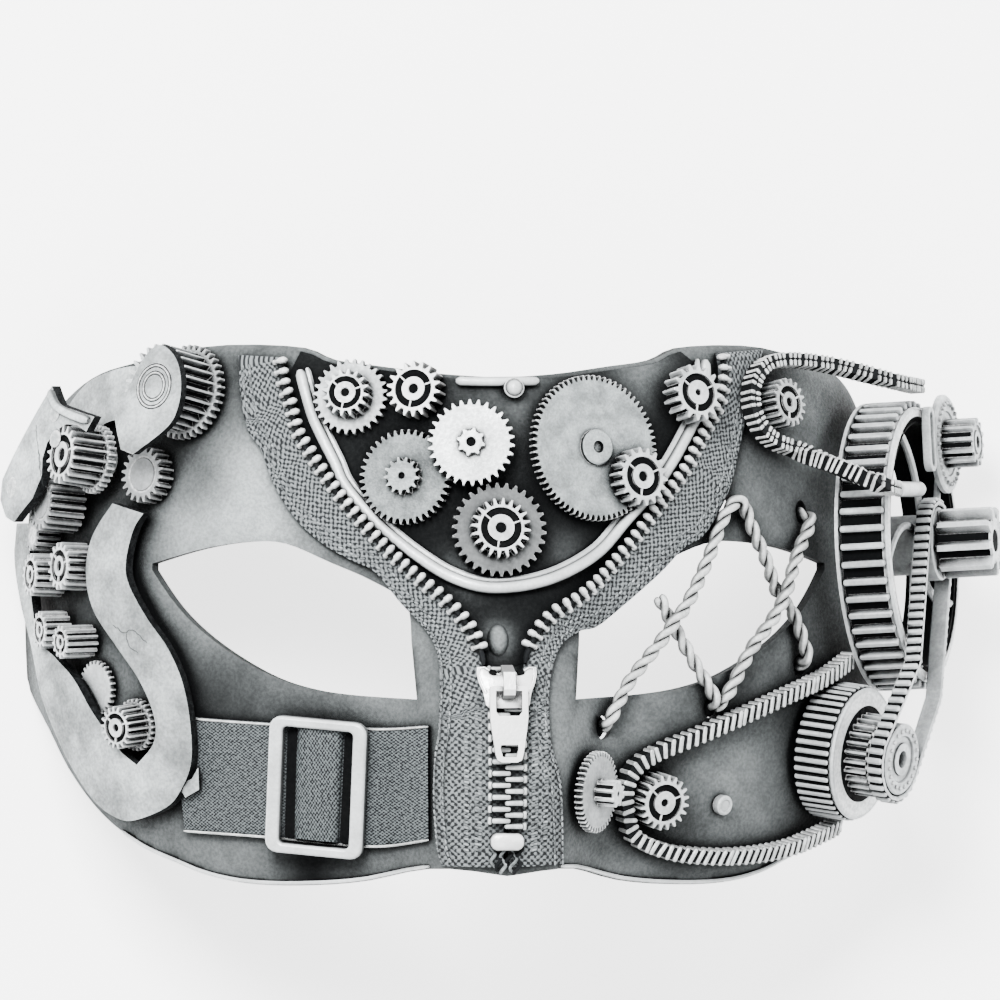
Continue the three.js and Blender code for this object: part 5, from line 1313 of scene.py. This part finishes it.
ROPE_LIFT = GAP + 1.15 * ROPE_RADIUS
ROPES = {
    "lacing_long": [(*LACE_HOLES["low"], -3), (0.17, -0.172, 0), (0.208, -0.11, 0), (0.253, -0.052, 1),
                    (0.281, -0.012, 1.6), (0.3, 0.01, 1.5), (0.352, 0.087, 0), (0.383, 0.15, 0.2),
                    (0.4, 0.172, 0.9), (0.415, 0.176, 1), (0.43, 0.16, 0.2), (0.446, 0.127, 0),
                    (0.48, 0.075, -0.6), (0.503, 0.035, -1.2), (0.54, -0.002, -0.8), (0.562, -0.05, 0),
                    (0.572, -0.078, 0), (*LACE_HOLES["corner"], -3)],
    "lacing_short": [(*LACE_HOLES["outer"], -3), (0.588, 0.146, 0), (0.568, 0.118, 0), (0.532, 0.078, 0.8),
                     (0.502, 0.03, 1.6), (0.478, -0.012, 0.8), (0.436, -0.062, 0), (0.404, -0.112, 0),
                     (0.384, -0.14, 0.1), (*LACE_HOLES["foot"], -1.4), (0.366, -0.14, 0.1),
                     (0.325, -0.08, -0.4), (0.295, -0.03, -1.1), (0.273, 0.004, -1), (0.262, 0.024, -0.9)]}
for name, route in ROPES.items():
    points = [face_point(along * REACH, up * REACH, ROPE_LIFT + lift) for along, up, lift in route]
    rope = Piece(name)
    line = centripetal(points, 300)
    for strand in twisted(line, ROPE_RADIUS):
        rope.add(strand)
    # A black plug inside each hole that the cord goes through is a painted shadow.
    for along, up in LACE_HOLES.values():
        if any((along, up) == row[:2] for row in route):
            shadow = moved(face_frame(along * REACH, up * REACH, -WALL + 0.3))
            shadow[:3, 1] *= 1.2
            rope.add(turned([(1.75, 0), (1.75, 0.5), (1.2, 0.8)], 20), shadow, kind=1)
    rope.make([rope_paint, black_wash_and_shade], [name], "lacing_rope", sharp=80)
    print(f"{name}: {np.linalg.norm(np.diff(line, axis=0), axis=1).sum():.0f} mm of cord")

# %% [markdown]
# The big wheel on the right temple is an open drum with bars for teeth, on thin curved spokes. A toothed
# belt and two pinions lie on its face, and a second belt runs down from its hub to a smaller drum.

# %% the drum wheel
WHEEL_RADIUS, WHEEL_HEIGHT, WHEEL_RING, WHEEL_LIFT = 28.0, 10.3, 4.6, 2.2
HUB_RADIUS, HUB_LENGTH, BELT_WIDTH, BELT_THICK = 6.8, 13.9, 3.2, 3.0
wheel_frame = face_frame(0.812 * REACH, 0.1 * REACH, WHEEL_LIFT)


def tooth_bars(count, radius, low, length, width, thick):
    """Rounded bars round a drum, each along its axis."""
    for i in range(count):
        turn = math.radians(360 * i / count)
        c, s = math.cos(turn), math.sin(turn)
        bar = block(width, length, thick, 0.25, min(width * 0.42, 0.6))
        yield bar, frame_of((-s, c, 0), (0, 0, 1), (c, s, 0), (radius * c, radius * s, low + length / 2))


wheel = Piece("drum_wheel")
RING_IN = WHEEL_RADIUS - WHEEL_RING
wall_rings = [(26.2, 0.3), (26.2, WHEEL_HEIGHT - 0.5), (25.9, WHEEL_HEIGHT), (24.6, WHEEL_HEIGHT),
              (24.4, WHEEL_HEIGHT - 0.5), (23.9, WHEEL_HEIGHT - 0.5), (23.8, WHEEL_HEIGHT - 0.1),
              (RING_IN, WHEEL_HEIGHT - 0.2), (RING_IN, 0.3)]
low_lip = [(27.9, 0.15), (27.9, 0.75), (26.1, 0.95), (26.1, 0.15)]
high_lip = [(26.4, WHEEL_HEIGHT - 1.2), (26.7, WHEEL_HEIGHT - 0.4), (26.3, WHEEL_HEIGHT),
            (24.9, WHEEL_HEIGHT + 0.15), (24.7, WHEEL_HEIGHT - 0.4)]
# The drum's ring is painted black; on its inside this is painted shade in the open drum.
wheel.add(turned(wall_rings, 100, closed=True), wheel_frame, kind=1)
wheel.add(turned(low_lip, 100, closed=True), wheel_frame)
wheel.add(turned(high_lip, 100, closed=True), wheel_frame)
for shape, matrix in tooth_bars(50, 25.9, 1.1, WHEEL_HEIGHT - 1.7, 1.25, 2.05):
    wheel.add(shape, wheel_frame @ matrix)
wheel.add(turned([(HUB_RADIUS - 1, 0.8 - WHEEL_LIFT), (HUB_RADIUS - 1, WHEEL_HEIGHT)], 32), wheel_frame)
for i in range(5):
    start = math.radians(72 * (i + 0.3) - 22)
    reach = np.linspace(HUB_RADIUS - 1.5, RING_IN + 0.6, 24)
    turn = start + np.radians(44) * ((reach - reach[0]) / (reach[-1] - reach[0])) ** 0.8
    spoke = np.stack([reach * np.cos(turn), reach * np.sin(turn), np.full(24, WHEEL_HEIGHT - 0.9)], axis=1)
    wheel.add(tube(spoke, 0.7, 8, rounded=False), wheel_frame)
wheel.make([gear_paint, black_wash_and_shade], ["drum_wheel"], "gear_silver", sharp=35)

# %% [markdown]
# Two pinions and a link lie on the wheel. The thick one is on its axle and has nine coarse teeth. The other
# stands on a flange with a ring of small beads, which are one short profile turned and set round it by a
# loop.


# %% the pinions and the link
def add_beads(piece, base, count, radius, height, profile):
    """Small round beads in a ring on a flange."""
    for i in range(count):
        turn = 2 * math.pi * i / count
        piece.add(turned(profile, 8), moved(base, radius * math.cos(turn), radius * math.sin(turn), height))


pinion_frame = moved(wheel_frame, z=WHEEL_HEIGHT + BELT_WIDTH + 2 * GAP)
PINION_HEIGHT = HUB_LENGTH - BELT_WIDTH
pinion = Piece("axle_pinion")
add_gear(pinion, pinion_frame, 9, HUB_RADIUS, 2.2, 0, PINION_HEIGHT, ((0.6, 0), (0.57, 0.3), (0.5, 0.3)), 2.2,
         tip=0.24, gap=0.44, bevel=0.4)
pinion.make([coarse_paint, black_wash_and_shade], ["axle_pinion"], "gear_silver", sharp=40)

small_frame = moved(wheel_frame, 16.5, 19.5, WHEEL_HEIGHT + GAP)
small = Piece("small_pinion")
small.add(turned([(9.6, 0), (9.6, 0.8), (9.2, 1.2), (6.4, 1.2), (6.2, 0.9), (5.6, 0.9)], 60), small_frame)
add_beads(small, small_frame, 30, 7.9, 1.0, [(0.42, 0), (0.42, 0.5), (0.25, 0.8)])
add_gear(small, small_frame, 12, 4.8, 1.0, 0.6, 7.2, ((0.7, 0), (0.66, 0.4), (0.5, 0.4), (0.46, 0)), 1.2,
         tip=0.24, gap=0.42)
small.make([gear_paint, black_wash_and_shade], ["small_pinion"], "gear_silver", sharp=35)

link_frame = moved(wheel_frame, 3.6, 20.4, WHEEL_HEIGHT + GAP)
shape, flat, walls_from = sheet(round_box(4.4, 12.6, 2.15, 8), [round_box(2.4, 10.6, 1.15, 8)], 0, 1.6, 1.0,
                                bend=flat_point)
link = Piece("oval_link").add(shape, link_frame, edge_from=walls_from, edge_kind=0)
link.make([gear_paint], ["oval_link"], "gear_silver", bevel=0.2)

# %% [markdown]
# The lower drum has a fine-toothed disc and a smaller stage on it. The narrow belt round its hub is beaded
# on its outer side, like a timing belt with round teeth.

# %% the lower drum
DRUM_RADIUS, DRUM_HEIGHT = 13.2, 8.3
CORD_WIDTH, CORD_THICK, LOOP_WHEEL, LOOP_DRUM = 3.2, 1.4, 8.2, 8.0
drum_frame = seat(0.667 * REACH, -0.221 * REACH, DRUM_RADIUS)
STAGE_TOP = DRUM_HEIGHT + 4.6
drum = Piece("lower_drum")
drum.add(turned([(12.1, 0), (12.1, DRUM_HEIGHT - 0.3), (11.8, DRUM_HEIGHT), (7.6, DRUM_HEIGHT)], 80),
         drum_frame, kind=1)
drum.add(turned([(12.5, DRUM_HEIGHT - 0.9), (12.8, DRUM_HEIGHT - 0.35), (12.5, DRUM_HEIGHT + 0.02),
                 (9.4, DRUM_HEIGHT + 0.1), (9.2, DRUM_HEIGHT - 0.3)], 80), drum_frame)
for shape, matrix in tooth_bars(46, 11.9, 0.1, DRUM_HEIGHT - 1.0, 0.95, 1.3):
    drum.add(shape, drum_frame @ matrix)
add_gear(drum, drum_frame, 26, 8, 1.0, 0.5 * DRUM_HEIGHT, STAGE_TOP, ((0.84, 0), (0.8, 0.3)), 0)
hub = LOOP_DRUM - CORD_THICK / 2 - GAP
hub_top = STAGE_TOP + BELT_WIDTH + 2 * GAP
drum.add(turned([(hub, DRUM_HEIGHT), (hub, hub_top - 0.3), (hub - 0.3, hub_top), (4.6, hub_top),
                 (4.4, hub_top - 0.4), (3.2, hub_top - 0.4), (3.1, hub_top), (1.7, hub_top),
                 (1.6, hub_top - 2)], 48), drum_frame)
add_beads(drum, drum_frame, 20, 5.6, hub_top - 0.1, [(0.36, 0), (0.36, 0.4), (0.2, 0.6)])
drum.make([gear_paint, black_wash_and_shade], ["lower_drum"], "gear_silver", sharp=35)

# %% [markdown]
# The belt is one closed loop. It goes round the wheel's hub and the lower drum's hub, and its straight runs
# leave the wheel's ring at the height of the hub. A silver band is lofted along it, a black strip covers
# its outer side, and a rounded bead is set on the strip at every pitch.

# %% the beaded belt
loop_spots, loop_axes, loop_outs = [], [], []


def loop_part(base, radius, height, start, end):
    """The belt's stations round one of its wheels: nine places, each with the axis and the way out."""
    for turn in np.radians(np.linspace(start, end, 9)):
        reach = np.array([math.cos(turn), math.sin(turn), 0])
        loop_spots.append(placed(reach * radius + [0, 0, height], base))
        loop_axes.append(base[:3, 2])
        loop_outs.append(base[:3, :3] @ reach)


loop_part(wheel_frame, LOOP_WHEEL, WHEEL_HEIGHT + GAP + CORD_WIDTH / 2, -20, 160)
loop_part(drum_frame, LOOP_DRUM, STAGE_TOP + GAP + CORD_WIDTH / 2 + 0.2, 160, 340)


def leaves_ring(near, far):
    """Where a straight run of the belt leaves the wheel's ring, still as high as on the wheel's hub."""
    inverse = np.linalg.inv(wheel_frame)
    start, end = placed(loop_spots[near], inverse), placed(loop_spots[far], inverse)
    share = 0.0
    while np.hypot(*(start + (end - start) * share)[:2]) < WHEEL_RADIUS + CORD_WIDTH / 2:
        share += 0.02
    spot = start + (end - start) * share
    return placed(np.array([spot[0], spot[1], start[2]]), wheel_frame), loop_axes[near], loop_outs[near]


last, first = leaves_ring(0, 17), leaves_ring(8, 9)
for rows, value_last, value_first in zip((loop_spots, loop_axes, loop_outs), last, first):
    rows.append(value_last)
    rows.insert(9, value_first)
loop = np.hstack([loop_spots, loop_axes, loop_outs])
loop = resampled(loop, 0.8, closed=True)
spots, axes, outs = loop[:, :3], loop[:, 3:6], unit(loop[:, 6:])
tangents = unit(np.roll(spots, -1, axis=0) - np.roll(spots, 1, axis=0))
axes = unit(axes - tangents * np.sum(axes * tangents, axis=1, keepdims=True))
outs = np.cross(tangents, axes)
outs *= np.sign(np.sum(outs * loop[:, 6:], axis=1, keepdims=True))
belt = Piece("side_belt")
w, t = CORD_WIDTH / 2, CORD_THICK / 2
section = [(-w + 0.2, -t), (w - 0.2, -t), (w, -t + 0.2), (w, 0.1), (-w, 0.1), (-w, -t + 0.2)]
belt.add(loft([np.array([spot + a * axis + b * out for a, b in section])
               for spot, axis, out in zip(spots, axes, outs)],
              closed=True))
ground_section = [(-w + 0.1, 0.0), (w - 0.1, 0.0), (w - 0.1, 0.18), (-w + 0.1, 0.18)]
belt.add(loft([np.array([spot + a * axis + b * out for a, b in ground_section])
               for spot, axis, out in zip(spots, axes, outs)], closed=True), kind=1)
BEAD_PITCH = 1.85
bead_line = resampled(loop, BEAD_PITCH, closed=True)
for spot, axis, out in zip(bead_line[:, :3], bead_line[:, 3:6], unit(bead_line[:, 6:])):
    axis = unit(axis)
    out = unit(out - axis * np.dot(out, axis))
    bead_frame = frame_of(np.cross(axis, out), axis, out, spot - out * 0.1)
    belt.add(block(1.2, 2 * w, 0.95, 0.35, 0.55), bead_frame)
print(f"side_belt: {len(bead_line) * BEAD_PITCH:.0f} mm round")
belt.make([gear_paint, black_wash_and_shade], ["side_belt"], "gear_silver", sharp=40)
hub_piece = Piece("belt_hub").add(turned([(7.1, 0), (7.1, BELT_WIDTH - 0.3), (6.8, BELT_WIDTH)], 40),
                                  moved(wheel_frame, z=WHEEL_HEIGHT + GAP))
hub_piece.make([gear_paint], ["belt_hub"], "gear_silver")

# %% [markdown]
# The two wide belts stand on their edges, so their ribs show from the front as bright bars across a black
# ground. The ribs slant where a belt runs straight and turn radial where it goes round a pulley.


# %% the ribbed belts
def ribbed_belt(name, stations, slant, pitch, rows=1):
    """A belt with a rib every pitch along its way, in one row or in two that leave a groove between them."""
    centres = centripetal([centre for centre, _ in stations], 400)
    outs = centripetal([out for _, out in stations], 400)
    line = resampled(np.hstack([centres, outs]), 0.6)
    centres, outs = line[:, :3], line[:, 3:]
    tangents, sides, outs = along_frames(centres, outs)
    half_wide, half_thick = BELT_WIDTH / 2, BELT_THICK / 2
    piece = Piece(name)
    section = np.array([(-half_thick + 0.35, -half_wide), (half_thick - 0.35, -half_wide),
                        (half_thick - 0.35, half_wide - 0.4), (-half_thick + 0.35, half_wide - 0.4)])
    piece.add(swept(centres, section, outs), kind=1)
    steps = np.linalg.norm(np.diff(line[:, :3], axis=0), axis=1)
    lengths = np.concatenate([[0], np.cumsum(steps)])
    turning = np.linalg.norm(np.gradient(unit(tangents), axis=0), axis=1) / 0.6
    for where in np.arange(pitch * 0.6, lengths[-1] - pitch * 0.4, pitch):
        k = int(np.searchsorted(lengths, where)) - 1
        k = max(1, min(k, len(centres) - 2))
        lean = slant * float(np.clip(1 - turning[k] / 0.05, 0, 1))
        side = unit(sides[k] + tangents[k] * lean)
        base = frame_of(side, np.cross(outs[k], side), outs[k], centres[k] - outs[k] * half_wide)
        length = 2 * half_thick * math.hypot(1, lean) / rows
        for row in range(rows):
            shift = (row - (rows - 1) / 2) * length
            rib = block(length - 0.25 * (rows - 1), 0.5 * pitch, 2 * half_wide, 0.2, 0.25 * pitch)
            piece.add(rib, moved(base, shift))
    print(f"{name}: {lengths[-1]:.0f} mm long")
    return piece.make([rib_silver, belt_dark], [name], "belt_silver", sharp=40)


def on_face(along, up, lift):
    base = face_frame(along * REACH, up * REACH, lift)
    return base[:3, 3], base[:3, 2]


def above_wheel(x, y, z):
    return placed(np.array([x, y, z]), wheel_frame), wheel_frame[:3, 2]


BELT_LIFT = GAP + 0.55 * BELT_WIDTH
TAPE_BELT_LIFT = BELT_LIFT + TAPE_TOP
OVER_WHEEL = WHEEL_HEIGHT + GAP + BELT_WIDTH / 2
upper = [above_wheel(2, WHEEL_RADIUS + 2.6, OVER_WHEEL - 2),
         above_wheel(-12, WHEEL_RADIUS + 3.6, OVER_WHEEL - 3),
         on_face(0.62, 0.386, 6)]
upper += [on_face(along, up, TAPE_BELT_LIFT) for along, up in [(0.53, 0.394), (0.49, 0.385), (0.46, 0.36),
                                                               (0.45, 0.325), (0.462, 0.29), (0.49, 0.268)]]
upper += [on_face(0.53, 0.252, 5), above_wheel(-37, 11.6, OVER_WHEEL), above_wheel(-26, 10.6, OVER_WHEEL)]
ribbed_belt("upper_belt", upper, 0.35, 1.4, rows=2)
lower = [on_face(along, up, BELT_LIFT) for along, up in [
    (0.7, -0.078), (0.62, -0.105), (0.5, -0.139), (0.34, -0.193), (0.25, -0.226),
    (0.214, -0.25), (0.2, -0.284),
    (0.208, -0.322), (0.226, -0.352), (0.287, -0.376), (0.37, -0.386), (0.462, -0.386), (0.565, -0.376),
    (0.66, -0.356), (0.72, -0.342)]]
ribbed_belt("lower_belt", lower, 0.6, 1.75)
rod_frame = moved(wheel_frame, -26 + GAP, 10.6, OVER_WHEEL)
rod = Piece("belt_rod")
rod.add(tube(placed(np.array([(x, 0, 0) for x in np.linspace(0, 18, 24)]), rod_frame), 1.5, 16))
rod.make([smooth_silver], ["belt_rod"], "polished_silver")

# %% [markdown]
# The light is a product shot's: a white table lit from below, so that it also looks white through the eye
# openings, and three soft lamps. The brightest comes from the upper left, as the shadows in the photograph
# say.

# %% table, lamps and the sky
table_mesh = bpy.data.meshes.new("table")
table_mesh.from_pydata([(-3, -3, 0), (3, -3, 0), (3, 3, 0), (-3, 3, 0)], [], [(0, 1, 2, 3)])
table = bpy.data.objects.new("table", table_mesh)
bpy.context.collection.objects.link(table)
table.location.z = -0.0002
paper, _, paper_shader = new_finish("white paper")
paper_shader.inputs["Base Color"].default_value = (0.92, 0.92, 0.92, 1)
paper_shader.inputs["Roughness"].default_value = 0.9
paper_shader.inputs["Emission Color"].default_value = (1, 1, 1, 1)
paper_shader.inputs["Emission Strength"].default_value = 2.5
table_mesh.materials.append(paper)


def lamp(name, spot, size, power):
    light = bpy.data.objects.new(name, bpy.data.lights.new(name, "AREA"))
    bpy.context.collection.objects.link(light)
    light.location = spot
    light.rotation_mode = "QUATERNION"
    light.rotation_quaternion = (Vector((0, 0, 0.05)) - Vector(spot)).to_track_quat("-Z", "Y")
    light.data.size, light.data.energy = size, power
    print(name, spot, power, "W")


lamp("key lamp", (-0.35, 0.5, 0.95), 0.4, 46.0)
lamp("fill lamp", (0.8, 0.1, 0.8), 0.8, 9.0)
lamp("front lamp", (-0.2, -0.7, 1.0), 0.8, 9.0)
sky = bpy.data.worlds.new("sky")
bpy.context.scene.world = sky
sky.use_nodes = True
sky.node_tree.nodes["Background"].inputs["Color"].default_value = (1, 1, 1, 1)
sky.node_tree.nodes["Background"].inputs["Strength"].default_value = 0.6

# %% [markdown]
# Last, the scene is brought up to date.

# %% bring the scene up to date
bpy.context.view_layer.update()
